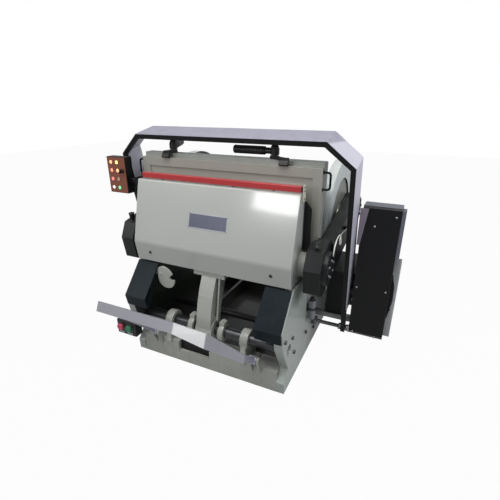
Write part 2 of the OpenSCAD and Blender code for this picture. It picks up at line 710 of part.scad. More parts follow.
// ---- lock hook ----
module hook_bracket() color("#9ea39a") {
    box_at([-frame_in, hook_y + 8, hook_pin[1] - 28], [hook_pin[0] + 24, hook_y + 24, hook_pin[1] + 16]);
    bar_y(hook_y - 22, hook_y + 8, hook_pin[0], hook_pin[1], 10);
}
module lock_hook() color("#a9b0ac") translate([hook_pin[0], hook_y, hook_pin[1]]) rotate([90, 0, 0])
    linear_extrude(16) difference() {
        polygon(concat([[-20, 42], [12, 56]], curve([30, 52], [78, 40], [96, 0], 6),
            [[76, -14], [70, -30], [84, -42], [108, -40]],
            curve([112, -58], [100, -112], [40, -112], 6), curve([40, -112], [-26, -108], [-30, -30], 8)));
        circle(r = 10 + run_fit);
    }

// ---- operator's buttons and panel ----
module button_station() color("#1b1c22") difference() {
    union() {
        box_at(station, station + station_size);
        box_at([-frame_half_w - 12, station[1] + 40, station[2] + 30],
            [-frame_half_w, -base_front + 90, station[2] + 70]);
    }
    for (b = station_buttons) bar_y(station[1] - 1, station[1] + 40, b[0], station_button_z, 20);
}
module push_button(b) {
    y = station[1];
    bar_y(y - 22, y - button_travel - face_gap - 1, b[0], station_button_z, 27);
    bar_y(y - button_travel - face_gap - 1, y + 18, b[0], station_button_z, 20 - 0.08);
}
module stop_button() color("#d8607a") push_button(station_buttons[0]);
module start_button() color("#1f7a4f") push_button(station_buttons[1]);

lamp_x = [40, 96, 140];
lamp_z = [40, 104, 168, 228];
module panel_box() color("#2a2d34") difference() {
    union() {
        box_at(panel, panel + panel_size);
        box_at([panel[0] + panel_size[0] - 1, panel[1] + 30, panel[2] + 80],
            [-bed_half_w, panel[1] + 60, panel[2] + 110]);
        box_at([-bed_half_w - 14, panel[1] + 30, panel[2] + 40], [-bed_half_w, bed_y + bed_t, panel[2] + 125]);
    }
    bar_y(panel[1] - 1, panel[1] + 50, panel[0] + lamp_x[2], panel[2] + lamp_z[2], 9);
}
module panel_lamps() for (i = [0, 1], j = [0 : 3])
    color([["#e8e8e0", "#e03a3a", "#f0b030", "#f5c21a"][j], ["#2fbf6a", "#c77c3a", "#e8642c", "#f5c21a"][j]][i])
        bar_y(panel[1] - 10, panel[1], panel[0] + lamp_x[i], panel[2] + lamp_z[j], 15);
module panel_knob() color("#111318") {
    bar_y(panel[1] - 22, panel[1] - face_gap, panel[0] + lamp_x[2], panel[2] + lamp_z[2], 16);
    bar_y(panel[1] - face_gap, panel[1] + 40, panel[0] + lamp_x[2], panel[2] + lamp_z[2], 9 - 0.08);
    box_at([panel[0] + lamp_x[2] - 5, panel[1] - 34, panel[2] + lamp_z[2] - 15],
        [panel[0] + lamp_x[2] + 5, panel[1] - 22, panel[2] + lamp_z[2] + 15]);
}

module frame_bolts() color("#6b6f73") both_sides() {
    for (p = concat(tie_places, [pivot + [110, -90], pivot + [60, 60], [-420, 440], [300, 120], [700, 120]]))
        translate([frame_half_w, p[0], p[1]]) rotate([0, 90, 0]) hex_head(15, 11);
    for (a = [0 : 60 : 300]) translate([frame_in - 16, crank[0] + (crank_shaft_r + 32) * cos(a),
        crank[1] + (crank_shaft_r + 32) * sin(a)]) rotate([0, -90, 0]) hex_head(10, 8);
}

// ---- platen ----
module platen() color("#b9bbb2") {
    box_at([-platen_half_w, platen_front, platen_bottom], [platen_half_w, platen_back, platen_top]);
    for (x = [-1, 1] * (platen_half_w - 40))
        box_at([x - 15, platen_front - rib_depth, platen_bottom + 20], [x + 15, platen_front, platen_top - 20]);
    for (x = [-280, 0, 280])
        box_at([x - 15, platen_front - rib_depth, platen_bottom + 20], [x + 15, platen_front, platen_top - 20]);
    both_sides() difference() {
        union() {
            bar_x(platen_half_w, head_x - 2, trunnion, trunnion_r + 22);
            bar_x(platen_half_w, rod_out - 2, trunnion, trunnion_r);
        }
        box_at([platen_half_w - 1, platen_back, 0], [head_x, platen_back + 200, 2000]);
    }
}
module platen_end_plates() color("#4b4d47") both_sides() {
    translate([0, platen_back - 12, 0]) rotate([90, 0, 0]) linear_extrude(12)
        polygon([[platen_half_w, trunnion_h + 92], [platen_half_w + 50, trunnion_h + 92],
            [platen_half_w + 50, platen_top - 104], [platen_half_w + 14, platen_top - 60],
            [platen_half_w, platen_top - 60]]);
}
module cutting_plate() color("#9fa4a8")
    box_at([-platen_half_w, platen_back, platen_bottom],
        [platen_half_w, platen_back + cutting_plate_t, platen_top]);

arm_half_w = 58;
module rocker_arm() color("#bfc1b9") difference() {
    union() {
        plate_yz(-arm_half_w, arm_half_w, concat(
            curve([-292, platen_bottom - 42], [-390, 560], [pivot[0] - 78, pivot[1]]),
            curve([pivot[0] + 70, pivot[1]], [-240, 560], [-140, platen_bottom - 42])));
        box_at([-125, -296, platen_bottom - 44], [125, platen_back, platen_bottom]);
        bar_x(-arm_half_w - 8, arm_half_w + 8, pivot, pivot_r + 42);
        plate_yz(arm_half_w + 16, arm_half_w + 28, [[-200, platen_bottom - 44], [-290, platen_bottom - 44],
            [-345, pivot[1] + 95], [-325, pivot[1] + 95]]);
        box_at([arm_half_w - 10, -340, pivot[1] + 80], [arm_half_w + 28, -310, pivot[1] + 104]);
        for (x = [-100, 100], y = [-275, -180]) translate([x, y, platen_bottom - 52]) hex_head(13, 9);
    }
    bar_x(-200, 200, pivot, pivot_r + run_fit);
}

function cover_profile(d) = [
    [platen_front - cover_top_off + d, platen_top + cover_t - d],
    [platen_front - cover_crease_off + d, cover_crease_z],
    [platen_front - cover_foot_off + d * 1.02, cover_foot_z]];
module platen_cover() color("#b3b6ae") {
    difference() {
        union() {
            shape_yz(-cover_half_w, cover_half_w) polygon(concat(
                [[platen_front + 20, platen_top + cover_t]], cover_profile(0),
                [for (i = [2 : -1 : 0]) cover_profile(cover_t)[i]], [[platen_front + 20, platen_top]]));
            for (x = brake_post_x) translate([x, brake_y, platen_top - 18])
                cylinder(h = 19, r = brake_post_r + 9);
            for (x = [-500, 500]) box_at([x - 20, platen_front - cover_top_off + 20, platen_top - 20],
                [x + 20, platen_front, platen_top + 1]);
        }
        for (x = brake_post_x) translate([x, brake_y, platen_top - 30])
            cylinder(h = 60, r = brake_post_r + run_fit);
    }
    both_sides() difference() {
        plate_yz(cover_half_w - cover_t, cover_half_w, concat(cover_profile(cover_t),
            [[platen_front - 8, cover_foot_z], [platen_front - 8, platen_top]]));
        bar_x(platen_half_w, cover_half_w + 1, trunnion, trunnion_r + 28);
    }
}
plate_c = [-4, 1110];
cover_slope = atan2(cover_crease_off - cover_top_off, platen_top + cover_t - cover_crease_z);
module on_cover(x, z) {
    s = (platen_top + cover_t - z) / (platen_top + cover_t - cover_crease_z);
    translate([x, platen_front - cover_top_off - s * (cover_crease_off - cover_top_off), z])
        rotate([-cover_slope, 0, 0]) children();
}
module maker_plate() color("#8a93b0") on_cover(plate_c[0], plate_c[1])
    box_at([-150, -2, -52], [150, -0.02, 52]);
// Name plate and screws on the platen's cover
module cover_trim() {
    maker_plate();
    cover_screws();
}
bevel = [cover_crease_off - cover_foot_off, cover_crease_z - cover_foot_z];
module cover_screws() color("#3a3c3e") for (x = [-480, 470])
    translate([x, platen_front - cover_crease_off + bevel[0] / 2, cover_crease_z - bevel[1] / 2])
        rotate([90 + atan2(bevel[0], bevel[1]), 0, 0]) cylinder(h = 6, r = 8);

brake_post_x = [-420, 140, 420];
brake_post_r = 7;
brake_y = platen_front - 32;
module brake_bar() color("#c03038") {
    z0 = platen_top + cover_t + bar_travel + face_gap;
    box_at([-cover_half_w + 10, brake_y - 18, z0], [cover_half_w + 5, brake_y + 18, z0 + bar_h]);
    for (x = brake_post_x) translate([x, brake_y, platen_top - 24])
        cylinder(h = z0 - platen_top + 25, r = brake_post_r);
}

// ---- side rods ----
module in_rod() {
    translate([0, trunnion[0], trunnion[1]]) rotate([rod_tilt, 0, 0]) children();
}
head_outline = [[-150, -115], [-85, -165], [85, -165], [150, -125], [150, 125], [85, 165], [-80, 150],
    [-150, 50]];
module rod() {
    in_rod() difference() {
        union() {
            plate_yz(rod_x, head_out, head_outline);
            bar_x(head_out, rod_out, [0, 0], 112);
            plate_yz(rod_x, rod_out - 12, [[110, -125], [rod_len, -112], [rod_len, 112], [110, 125]]);
            bar_x(rod_x, rod_out - 12, [rod_len, 0], 125);
        }
        bar_x(rod_x - 1, rod_out + 1, [0, 0], trunnion_r + run_fit);
    }
}
module rod_right() color("#2a2c33") rod();
module rod_left() color("#2a2c33") side(true) rod();
module rod_caps() {
    in_rod() {
        difference() {
            plate_yz(head_x, rod_x, concat([for (i = [0, 1]) head_outline[i]], [[35, -165], [35, 158]],
                [for (i = [6, 7]) head_outline[i]]));
            bar_x(head_x - 1, rod_x + 1, [0, 0], trunnion_r + run_fit);
        }
        bar_x(rod_out, rod_out + trunnion_cap_t, [0, 0], trunnion_r + 13);
        bar_x(rod_out - 12, rod_out + 2, [rod_len, 0], 95);
        for (a = [0 : 60 : 300]) translate([rod_out + 2, rod_len + 72 * cos(a), 72 * sin(a)])
            rotate([0, 90, 0]) hex_head(10, 7);
        translate([cup_x, -40, 154.6]) cylinder(h = 15.4, r = 9);
        translate([cup_x, -40, 170]) cylinder(h = 34, r = 20);
        translate([cup_x, -40, 204]) cylinder(h = 6, r = 22);
    }
}
module rod_caps_right() color("#25272e") {
    rod_caps();
    first = oil_points[0];
    last = oil_points[len(oil_points) - 1];
    box_at([rod_out, first[1] - 10, first[2] - 22.4], [oil_x + 8, first[1] + 10, first[2] - face_gap]);
    box_at([rod_out - 12, last[1] + face_gap, last[2] - 10], [oil_x + 8, last[1] + 20, last[2] + 10]);
}
module rod_caps_left() color("#25272e") side(true) rod_caps();

function unit(v) = v / norm(v);
function cross_dir(i) = unit(oil_points[min(i + 1, len(oil_points) - 1)] - oil_points[max(i - 1, 0)]);
oil_sides = 8;
function oil_ring(i) = let (t = cross_dir(i), u = unit(cross(t, [1, 0, 0.001])), v = cross(t, u))
    [for (k = [0 : oil_sides - 1]) let (a = k * 360 / oil_sides)
        oil_points[i] + oil_r * (cos(a) * u + sin(a) * v) + [oil_x, 0, 0]];
module oil_line() color("#eeeeea") {
    n = len(oil_points);
    m = oil_sides;
    polyhedron(points = [for (i = [0 : n - 1]) each oil_ring(i)],
        faces = concat([[for (k = [0 : m - 1]) k]],
            [for (i = [0 : n - 2], k = [0 : m - 1]) let (a = i * m + k, b = i * m + (k + 1) % m)
                [a, a + m, b + m, b]],
            [[for (k = [m - 1 : -1 : 0]) (n - 1) * m + k]]));
}

// ---- foot bar ----
// Brackets bolted on the front: the foot bar's hinges and the lock hook's carrier
module front_brackets() {
    foot_hinges();
    hook_bracket();
}
module foot_hinges() color("#9a9da0") both_sides() {
    bar_x(foot_arm_x - 40, foot_arm_x + 40, foot_hinge, foot_shaft_r);
    for (x = [foot_arm_x - 38, foot_arm_x + 22]) difference() {
        union() {
            plate_yz(x, x + 16, [[-base_front, base_h - 50], [-base_front, base_h], foot_hinge + [26, 6],
                foot_hinge + [-26, 0]]);
            bar_x(x, x + 16, foot_hinge, foot_shaft_r + 12);
        }
        bar_x(x - 1, x + 17, foot_hinge, foot_shaft_r);
    }
}
// Sections of the folded plate: its straight stretch, where it widens, its bend and its end on the right arm
foot_straight = [foot_face[0], foot_face[1], foot_face[1] + [foot_bar_t, -3], foot_face[0] + [foot_bar_t, -3]];
foot_wide = foot_straight + [[0, -14], [-6, -34], [-6, -34], [0, -14]];
foot_end = [[-600, 400], [-618, 355], [-606, 350], [-588, 395]];
foot_seat = [0.4, -0.2];
foot_bend_x = [-10, 230];
module foot_bar() color("#b9bac6") {
    plate_yz(-frame_half_w - 10, foot_bend_x[0], foot_straight);
    hull() {
        plate_yz(foot_bend_x[0] - 1, foot_bend_x[0], foot_straight);
        plate_yz(foot_bend_x[1], foot_bend_x[1] + 1, foot_wide);
    }
    hull() {
        plate_yz(foot_bend_x[1], foot_bend_x[1] + 1, foot_wide);
        plate_yz(foot_arm_x - 15, foot_arm_x + 15, foot_end);
    }
}
module foot_arm(pts) {
    plate_yz(foot_arm_x - 9, foot_arm_x + 9, pts);
}
module foot_arms() color("#8e9296") {
    difference() {
        union() {
            foot_arm([foot_end[3] + foot_seat, foot_end[2] + foot_seat, [foot_hinge[0] - 20, foot_hinge[1] - 8],
                [foot_hinge[0] + 8, foot_hinge[1] + 18]]);
            mirror([1, 0, 0]) foot_arm([foot_face[0] + [foot_bar_t + 0.32, -3.15],
                foot_face[1] + [foot_bar_t + 0.32, -3.15], [foot_hinge[0] - 20, foot_hinge[1] - 8],
                [foot_hinge[0] + 8, foot_hinge[1] + 18]]);
            both_sides() bar_x(foot_arm_x - 20, foot_arm_x + 20, foot_hinge, foot_shaft_r + 14);
        }
        bar_x(-foot_arm_x - 30, foot_arm_x + 30, foot_hinge, foot_shaft_r + run_fit);
    }
}

base();
side_frame_left();
side_frame_right();
cross_ties();
bed();
bed_ribs();
die_chase();
die_board();
cutting_rules();
chase_handles();
clamp_hooks();
pivot_shaft();
pivot_pedestals();
shaft_collars();
shin_panels();
bearing_housings();
gear_guard_left();
gear_guard_right();
belt_cover();
drive_brackets();
flywheel_guard();
motor();
front_brackets();
v_belts();
hoop_pivot_rods();
button_station();
panel_box();
panel_lamps();
frame_bolts();
drive_guard();
waste_tray();
platen_end_plates();
platen();
cutting_plate();
rocker_arm();
platen_cover();
cover_trim();
brake_bar();
crank_shaft();
main_gear_left();
main_gear_right();
pinion_shaft();
clutch_hub();
flywheel();
motor_pulley();
rod_left();
rod_right();
rod_caps_left();
rod_caps_right();
oil_line();
hoop_frame();
hoop_skin();
foot_bar();
foot_arms();
clamp_left();
clamp_right();
lock_hook();
stop_button();
start_button();
panel_knob();
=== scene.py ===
# A hand-fed platen die cutting and creasing press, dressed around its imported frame.
import json
import math
import bmesh
import bpy
import numpy as np
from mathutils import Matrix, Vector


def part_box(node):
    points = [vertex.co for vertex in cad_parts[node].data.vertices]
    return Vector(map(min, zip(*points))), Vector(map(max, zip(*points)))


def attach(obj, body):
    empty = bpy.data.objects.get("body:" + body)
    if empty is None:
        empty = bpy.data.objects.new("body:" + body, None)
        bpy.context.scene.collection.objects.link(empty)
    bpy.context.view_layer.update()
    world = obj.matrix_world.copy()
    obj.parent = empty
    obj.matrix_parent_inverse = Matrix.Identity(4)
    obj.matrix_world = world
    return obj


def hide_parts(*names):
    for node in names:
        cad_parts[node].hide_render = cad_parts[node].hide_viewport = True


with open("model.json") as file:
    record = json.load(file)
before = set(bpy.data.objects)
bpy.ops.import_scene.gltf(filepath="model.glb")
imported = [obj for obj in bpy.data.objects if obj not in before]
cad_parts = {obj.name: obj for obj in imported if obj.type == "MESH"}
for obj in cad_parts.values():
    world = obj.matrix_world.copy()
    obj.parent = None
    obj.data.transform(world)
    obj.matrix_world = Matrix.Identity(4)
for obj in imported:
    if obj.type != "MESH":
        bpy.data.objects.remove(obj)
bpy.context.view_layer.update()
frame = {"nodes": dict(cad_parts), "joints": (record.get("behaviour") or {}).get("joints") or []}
nodes = frame["nodes"]
scene = bpy.context.scene
scene.view_settings.view_transform = "Standard"

# Camera at the operator's right, a little above the platen.
cameraSet = dict(
    place=(1.218, -2.225, 1.832), pitchDown=22.56, azimuth=25.04, lens=25.92, shiftX=0.0, shiftY=0.008,
)
camera = bpy.data.objects.new("camera", bpy.data.cameras.new("camera"))
scene.collection.objects.link(camera)
camera.location = cameraSet["place"]
camera.rotation_euler = (math.radians(90 - cameraSet["pitchDown"]), 0, math.radians(cameraSet["azimuth"]))
camera.data.lens = cameraSet["lens"]
camera.data.sensor_width = 36
camera.data.shift_x, camera.data.shift_y = cameraSet["shiftX"], cameraSet["shiftY"]
camera.data.clip_start, camera.data.clip_end = 0.05, 80
scene.camera = camera
print("camera placed")


# Screen colour to linear light, channel by channel.
def linear(rgb):
    c = np.asarray(rgb, float)
    return (*np.where(c <= 0.04045, c / 12.92, ((c + 0.055) / 1.055) ** 2.4).tolist(), 1.0)


# One node with its settings; an input is given by name, as a value or as a socket to link.
def put(tree, kind, settings=None, **inputs):
    node = tree.nodes.new("ShaderNode" + kind)
    for key, value in (settings or {}).items():
        setattr(node, key, value)
    for key, value in inputs.items():
        at = node.inputs[int(key[1:]) if key[1:].isdigit() else key.replace("_", " ")]
        if isinstance(value, bpy.types.NodeSocket):
            tree.links.new(value, at)
        else:
            at.default_value = value
    return node


def maths(tree, what, a, b=0.0, clamp=False):
    return put(tree, "Math", dict(operation=what, use_clamp=clamp), i0=a, i1=b).outputs[0]


def remap(tree, value, fromLow, fromHigh, toLow=0.0, toHigh=1.0):
    ends = dict(From_Min=fromLow, From_Max=fromHigh, To_Min=toLow, To_Max=toHigh)
    return put(tree, "MapRange", None, Value=value, **ends).outputs[0]


def noise(tree, where, scale, detail=3.0, rough=0.55):
    node = put(tree, "TexNoise", None, Vector=where, Scale=scale, Detail=detail, Roughness=rough)
    return node.outputs["Fac"]


def blendColour(tree, how, amount, a, b):
    node = put(tree, "Mix", dict(data_type="RGBA", blend_type=how))
    for socket, value in ((node.inputs[0], amount), (node.inputs[6], a), (node.inputs[7], b)):
        if isinstance(value, bpy.types.NodeSocket):
            tree.links.new(value, socket)
        else:
            socket.default_value = value
    return node.outputs[2]


def newGroup(name, inputs, outputs):
    tree = bpy.data.node_groups.new(name, "ShaderNodeTree")
    for label, value in inputs.items():
        kind = "NodeSocketColor" if isinstance(value, tuple) else "NodeSocketFloat"
        socket = tree.interface.new_socket(label, in_out="INPUT", socket_type=kind)
        socket.default_value = value
    for label, kind in outputs.items():
        tree.interface.new_socket(label, in_out="OUTPUT", socket_type="NodeSocket" + kind)
    return tree, tree.nodes.new("NodeGroupInput").outputs, tree.nodes.new("NodeGroupOutput").inputs


def objectPlace(tree):
    return put(tree, "TexCoord").outputs["Object"]


# Where the surface turns sharply: one minus the agreement of the rounded normal with the real one.
def edgeMask():
    tree, given, out = newGroup("edgeMask", {"Radius": 0.004, "Patchiness": 0.6}, {"Mask": "Float"})
    rounded = put(tree, "Bevel", dict(samples=6), Radius=given["Radius"]).outputs[0]
    real = put(tree, "NewGeometry").outputs["Normal"]
    agree = put(tree, "VectorMath", dict(operation="DOT_PRODUCT"), i0=rounded, i1=real).outputs["Value"]
    turn = remap(tree, maths(tree, "SUBTRACT", 1.0, agree), 0.01, 0.16)
    patch = remap(tree, noise(tree, objectPlace(tree), 38.0, 5.0, 0.7), 0.42, 0.62)
    keep = maths(tree, "SUBTRACT", 1.0, given["Patchiness"])
    kept = maths(tree, "ADD", keep, maths(tree, "MULTIPLY", patch, given["Patchiness"]))
    tree.links.new(maths(tree, "MULTIPLY", turn, kept, True), out["Mask"])
    return tree


# Fine dust that settles on faces that look up, thicker where broad noise is high.
def settledDust():
    tree, given, out = newGroup("settledDust", {"Amount": 0.3}, {"Mask": "Float"})
    up = put(tree, "SeparateXYZ", None, Vector=put(tree, "NewGeometry").outputs["Normal"]).outputs["Z"]
    flat = remap(tree, up, 0.35, 0.95)
    patch = remap(tree, noise(tree, objectPlace(tree), 9.0, 6.0, 0.7), 0.3, 0.75)
    settled = maths(tree, "MULTIPLY", maths(tree, "MULTIPLY", flat, patch), given["Amount"], True)
    tree.links.new(settled, out["Mask"])
    return tree


# Brushed or spangled metal: streaks are noise squeezed along one direction, spangle is flat cells.
def metalGrain():
    tree, given, out = newGroup(
        "metalGrain",
        {"Along X": 4.0, "Along Y": 4.0, "Along Z": 160.0, "Spangle": 0.0, "Spangle Size": 30.0},
        {"Streak": "Float", "Cells": "Float"},
    )
    along = dict(X=given["Along X"], Y=given["Along Y"], Z=given["Along Z"])
    squeeze = put(tree, "CombineXYZ", None, **along).outputs[0]
    where = objectPlace(tree)
    squeezed = put(tree, "VectorMath", dict(operation="MULTIPLY"), i0=where, i1=squeeze).outputs[0]
    tree.links.new(noise(tree, squeezed, 3.0, 6.0, 0.7), out["Streak"])
    cells = put(tree, "TexVoronoi", None, Vector=where, Scale=given["Spangle Size"]).outputs["Color"]
    grey = put(tree, "SeparateColor", None, Color=cells).outputs[0]
    tree.links.new(maths(tree, "MULTIPLY", grey, given["Spangle"]), out["Cells"])
    return tree


# Enamel or plastic: slow tone drift, finger smears, worn edges, dust, grime near the floor, orange peel
# and cast lumps.
def paintSkin():
    tree, given, out = newGroup(
        "paintSkin",
        {"Paint": (0.5, 0.5, 0.5, 1), "Worn": (0.3, 0.3, 0.3, 1), "Dust": (0.5, 0.48, 0.45, 1), "Drift": 0.06,
         "Base Roughness": 0.3, "Smear": 0.12, "Wear": 0.4, "Edge Radius": 0.004, "Dust Amount": 0.2,
         "Floor Grime": 0.4, "Peel Scale": 260.0, "Lumps": 0.0},
        {"Color": "Color", "Roughness": "Float", "Height": "Float"},
    )
    where = objectPlace(tree)
    slow = noise(tree, where, 1.9, 3.0)
    tone = maths(tree, "MULTIPLY_ADD", maths(tree, "SUBTRACT", slow, 0.5), given["Drift"])
    tone.node.inputs[2].default_value = 1.0
    drifted = put(tree, "HueSaturation", None, Value=tone, Color=given["Paint"]).outputs[0]
    smear = noise(tree, where, 16.0, 6.0, 0.68)
    low = put(tree, "SeparateXYZ", None, Vector=where).outputs["Z"]
    grime = maths(tree, "MULTIPLY", remap(tree, low, 0.42, 0.0), remap(tree, smear, 0.35, 0.7))
    grimeShare = maths(tree, "MULTIPLY", grime, given["Floor Grime"])
    grimed = blendColour(tree, "MULTIPLY", grimeShare, drifted, (0.42, 0.39, 0.34, 1))
    edge = put(
        tree, "Group", dict(node_tree=groups["edgeMask"]), Radius=given["Edge Radius"], Patchiness=0.75,
    )
    worn = maths(tree, "MULTIPLY", edge.outputs[0], given["Wear"], True)
    bare = blendColour(tree, "MIX", worn, grimed, given["Worn"])
    dust = put(tree, "Group", dict(node_tree=groups["settledDust"]), Amount=given["Dust Amount"]).outputs[0]
    tree.links.new(blendColour(tree, "MIX", dust, bare, given["Dust"]), out["Color"])
    smeared = maths(tree, "MULTIPLY", maths(tree, "SUBTRACT", smear, 0.5), given["Smear"])
    uneven = maths(tree, "ADD", smeared, maths(tree, "MULTIPLY", dust, 0.35))
    tree.links.new(maths(tree, "ADD", given["Base Roughness"], uneven, True), out["Roughness"])
    peel = maths(tree, "MULTIPLY", noise(tree, where, given["Peel Scale"], 2.0), 0.25)
    lumps = maths(tree, "MULTIPLY", noise(tree, where, 42.0, 4.0), given["Lumps"])
    bumps = maths(tree, "ADD", peel, lumps)
    tree.links.new(maths(tree, "ADD", bumps, maths(tree, "MULTIPLY", worn, -0.6)), out["Height"])
    return tree


groups = {}
for build in (edgeMask, settledDust, metalGrain, paintSkin):
    groups[build.__name__] = build()
print("shared shader groups built")

# Every finish: colours as seen on a screen, then how glossy, worn and dusty it is.
enamels = dict(
    apronGrey=dict(
        paint=(0.74, 0.75, 0.73), worn=(0.45, 0.45, 0.43),
        rough=0.2, smear=0.1, coat=0.6, wear=0.25, dust=0.12, peel=0.16,
    ),
    castGrey=dict(
        paint=(0.70, 0.71, 0.68), worn=(0.44, 0.44, 0.42),
        rough=0.34, coat=0.3, wear=0.55, dust=0.25, lumps=0.7, peel=0.5,
    ),
    chaseBeige=dict(
        paint=(0.66, 0.655, 0.62), worn=(0.42, 0.42, 0.40),
        rough=0.3, coat=0.3, wear=0.6, dust=0.2, lumps=0.3, peel=0.4,
    ),
    frameGrey=dict(
        paint=(0.70, 0.725, 0.70), worn=(0.45, 0.46, 0.44),
        rough=0.3, coat=0.35, wear=0.6, dust=0.12, lumps=0.6, peel=0.5,
    ),
    charcoal=dict(
        paint=(0.085, 0.09, 0.095), worn=(0.32, 0.33, 0.34),
        rough=0.4, coat=0.05, wear=0.5, dust=0.06, lumps=0.7, peel=0.5, spec=0.3,
    ),
    coverBlack=dict(
        paint=(0.06, 0.062, 0.072), worn=(0.26, 0.27, 0.29),
        rough=0.42, smear=0.2, coat=0.05, wear=0.55, dust=0.07, peel=0.2, spec=0.25,
    ),
    # Painted sheen: a lighter grey for the strip up the belt cover's right corner, standing in for light on
    # its side.
    coverSideSheen=dict(
        paint=(0.36, 0.36, 0.40), worn=(0.4, 0.4, 0.42),
        rough=0.42, coat=0.05, wear=0.4, dust=0.1, peel=0.2,
    ),
    navy=dict(
        paint=(0.02, 0.085, 0.115), worn=(0.14, 0.21, 0.26),
        rough=0.4, coat=0.03, wear=0.8, dust=0.04, peel=0.25, spec=0.15,
    ),
    mauve=dict(
        paint=(0.55, 0.51, 0.56), worn=(0.3, 0.3, 0.32),
        rough=0.4, coat=0.2, wear=0.4, dust=0.2, peel=0.25,
    ),
    guardWhite=dict(
        paint=(0.84, 0.86, 0.85), worn=(0.5, 0.5, 0.5),
        rough=0.34, coat=0.3, wear=0.4, dust=0.2, peel=0.25,
    ),
    signalRed=dict(
        paint=(0.74, 0.20, 0.22), worn=(0.5, 0.3, 0.3),
        rough=0.36, coat=0.25, wear=0.35, dust=0.05, peel=0.15,
    ),
    guardGrey=dict(
        paint=(0.80, 0.81, 0.81), worn=(0.42, 0.42, 0.42),
        rough=0.42, coat=0.1, wear=0.4, dust=0.3, peel=0.3, drift=0.5,
    ),
    # Painted shade: a dark grey for the bed's ribs and the cross ties inside the machine.
    innerShadeGrey=dict(
        paint=(0.20, 0.205, 0.19), worn=(0.3, 0.3, 0.3),
        rough=0.5, coat=0.1, wear=0.5, dust=0.1, lumps=0.7, peel=0.5,
    ),
    creamPaint=dict(
        paint=(0.84, 0.83, 0.75), worn=(0.5, 0.5, 0.48),
        rough=0.34, coat=0.2, wear=0.5, dust=0.1, peel=0.25,
    ),
    tankGrey=dict(
        paint=(0.55, 0.56, 0.58), worn=(0.4, 0.4, 0.4),
        rough=0.4, coat=0.1, wear=0.5, dust=0.2, peel=0.25,
    ),
    panelBrown=dict(
        paint=(0.55, 0.31, 0.22), worn=(0.5, 0.4, 0.38),
        rough=0.34, coat=0.3, wear=0.3, dust=0.05, peel=0.2, drift=0.3,
    ),
    plasticWhite=dict(
        paint=(0.9, 0.9, 0.88), worn=(0.6, 0.6, 0.6),
        rough=0.4, coat=0.0, wear=0.1, dust=0.02, peel=0.2,
    ),
    motorGreen=dict(
        paint=(0.30, 0.36, 0.39), worn=(0.42, 0.43, 0.44),
        rough=0.42, coat=0.15, wear=0.6, dust=0.4, lumps=0.5, peel=0.5,
    ),
    plasticBlack=dict(
        paint=(0.05, 0.05, 0.06), worn=(0.2, 0.2, 0.22),
        rough=0.36, coat=0.0, wear=0.3, dust=0.05, peel=0.35,
    ),
    plasticRed=dict(
        paint=(0.84, 0.28, 0.40), worn=(0.6, 0.2, 0.25),
        rough=0.28, coat=0.2, wear=0.2, dust=0.04, peel=0.1,
    ),
    plasticGreen=dict(
        paint=(0.16, 0.52, 0.36), worn=(0.1, 0.35, 0.2),
        rough=0.28, coat=0.2, wear=0.2, dust=0.04, peel=0.1,
    ),
    rubberBlack=dict(
        paint=(0.10, 0.10, 0.10), worn=(0.2, 0.2, 0.2),
        rough=0.62, coat=0.0, wear=0.4, dust=0.3, peel=0.6,
    ),
    nylon=dict(
        paint=(0.93, 0.93, 0.90), worn=(0.8, 0.8, 0.75),
        rough=0.3, coat=0.2, wear=0.0, dust=0.03, peel=0.1,
    ),
)
metals = dict(
    zinc=dict(
        metal=(0.78, 0.78, 0.84), dark=(0.68, 0.67, 0.74),
        rough=0.44, metallic=0.5, streak=(3, 3, 18), spangle=0.14, wear=0.2,
    ),
    turnedSteel=dict(
        metal=(0.66, 0.67, 0.69), dark=(0.42, 0.42, 0.43),
        rough=0.3, metallic=0.95, streak=(220, 6, 6), wear=0.4,
    ),
    boltSteel=dict(
        metal=(0.50, 0.51, 0.53), dark=(0.28, 0.28, 0.29),
        rough=0.36, metallic=0.9, streak=(60, 60, 60), wear=0.7,
    ),
    gearIron=dict(
        metal=(0.46, 0.46, 0.47), dark=(0.20, 0.19, 0.19),
        rough=0.42, metallic=0.8, streak=(200, 8, 8), wear=0.8,
    ),
    groundPlate=dict(
        metal=(0.70, 0.71, 0.73), dark=(0.48, 0.49, 0.50),
        rough=0.27, metallic=0.95, streak=(3, 90, 160), wear=0.3,
    ),
    rolledAluminium=dict(
        metal=(0.82, 0.82, 0.85), dark=(0.70, 0.70, 0.73),
        rough=0.34, metallic=0.6, streak=(2, 120, 120), wear=0.25,
    ),
    brightSteel=dict(
        metal=(0.80, 0.81, 0.82), dark=(0.62, 0.62, 0.63),
        rough=0.28, metallic=0.85, streak=(60, 60, 60), wear=0.25,
    ),
    printedPlate=dict(
        metal=(0.52, 0.53, 0.60), dark=(0.40, 0.41, 0.48),
        rough=0.36, metallic=0.45, streak=(2, 90, 120), wear=0.3,
    ),
)


# A painted, plastic or rubber finish.
def makeEnamel(name, f):
    m = bpy.data.materials.new(name)
    m.use_nodes = True
    tree = m.node_tree
    shader = tree.nodes["Principled BSDF"]
    skin = put(
        tree, "Group", dict(node_tree=groups["paintSkin"]), Paint=linear(f["paint"]), Worn=linear(f["worn"]),
        Drift=f.get("drift", 0.1), Base_Roughness=f["rough"], Smear=f.get("smear", 0.16), Wear=f["wear"],
        Dust_Amount=f["dust"], Lumps=f.get("lumps", 0.0),
    )
    tree.links.new(skin.outputs["Color"], shader.inputs["Base Color"])
    tree.links.new(skin.outputs["Roughness"], shader.inputs["Roughness"])
    bump = put(tree, "Bump", None, Strength=f["peel"], Distance=0.0015, Height=skin.outputs["Height"])
    tree.links.new(bump.outputs[0], shader.inputs["Normal"])
    shader.inputs["Coat Weight"].default_value = f["coat"]
    shader.inputs["Specular IOR Level"].default_value = f.get("spec", 0.5)
    shader.inputs["Coat Roughness"].default_value = 0.08
    return m


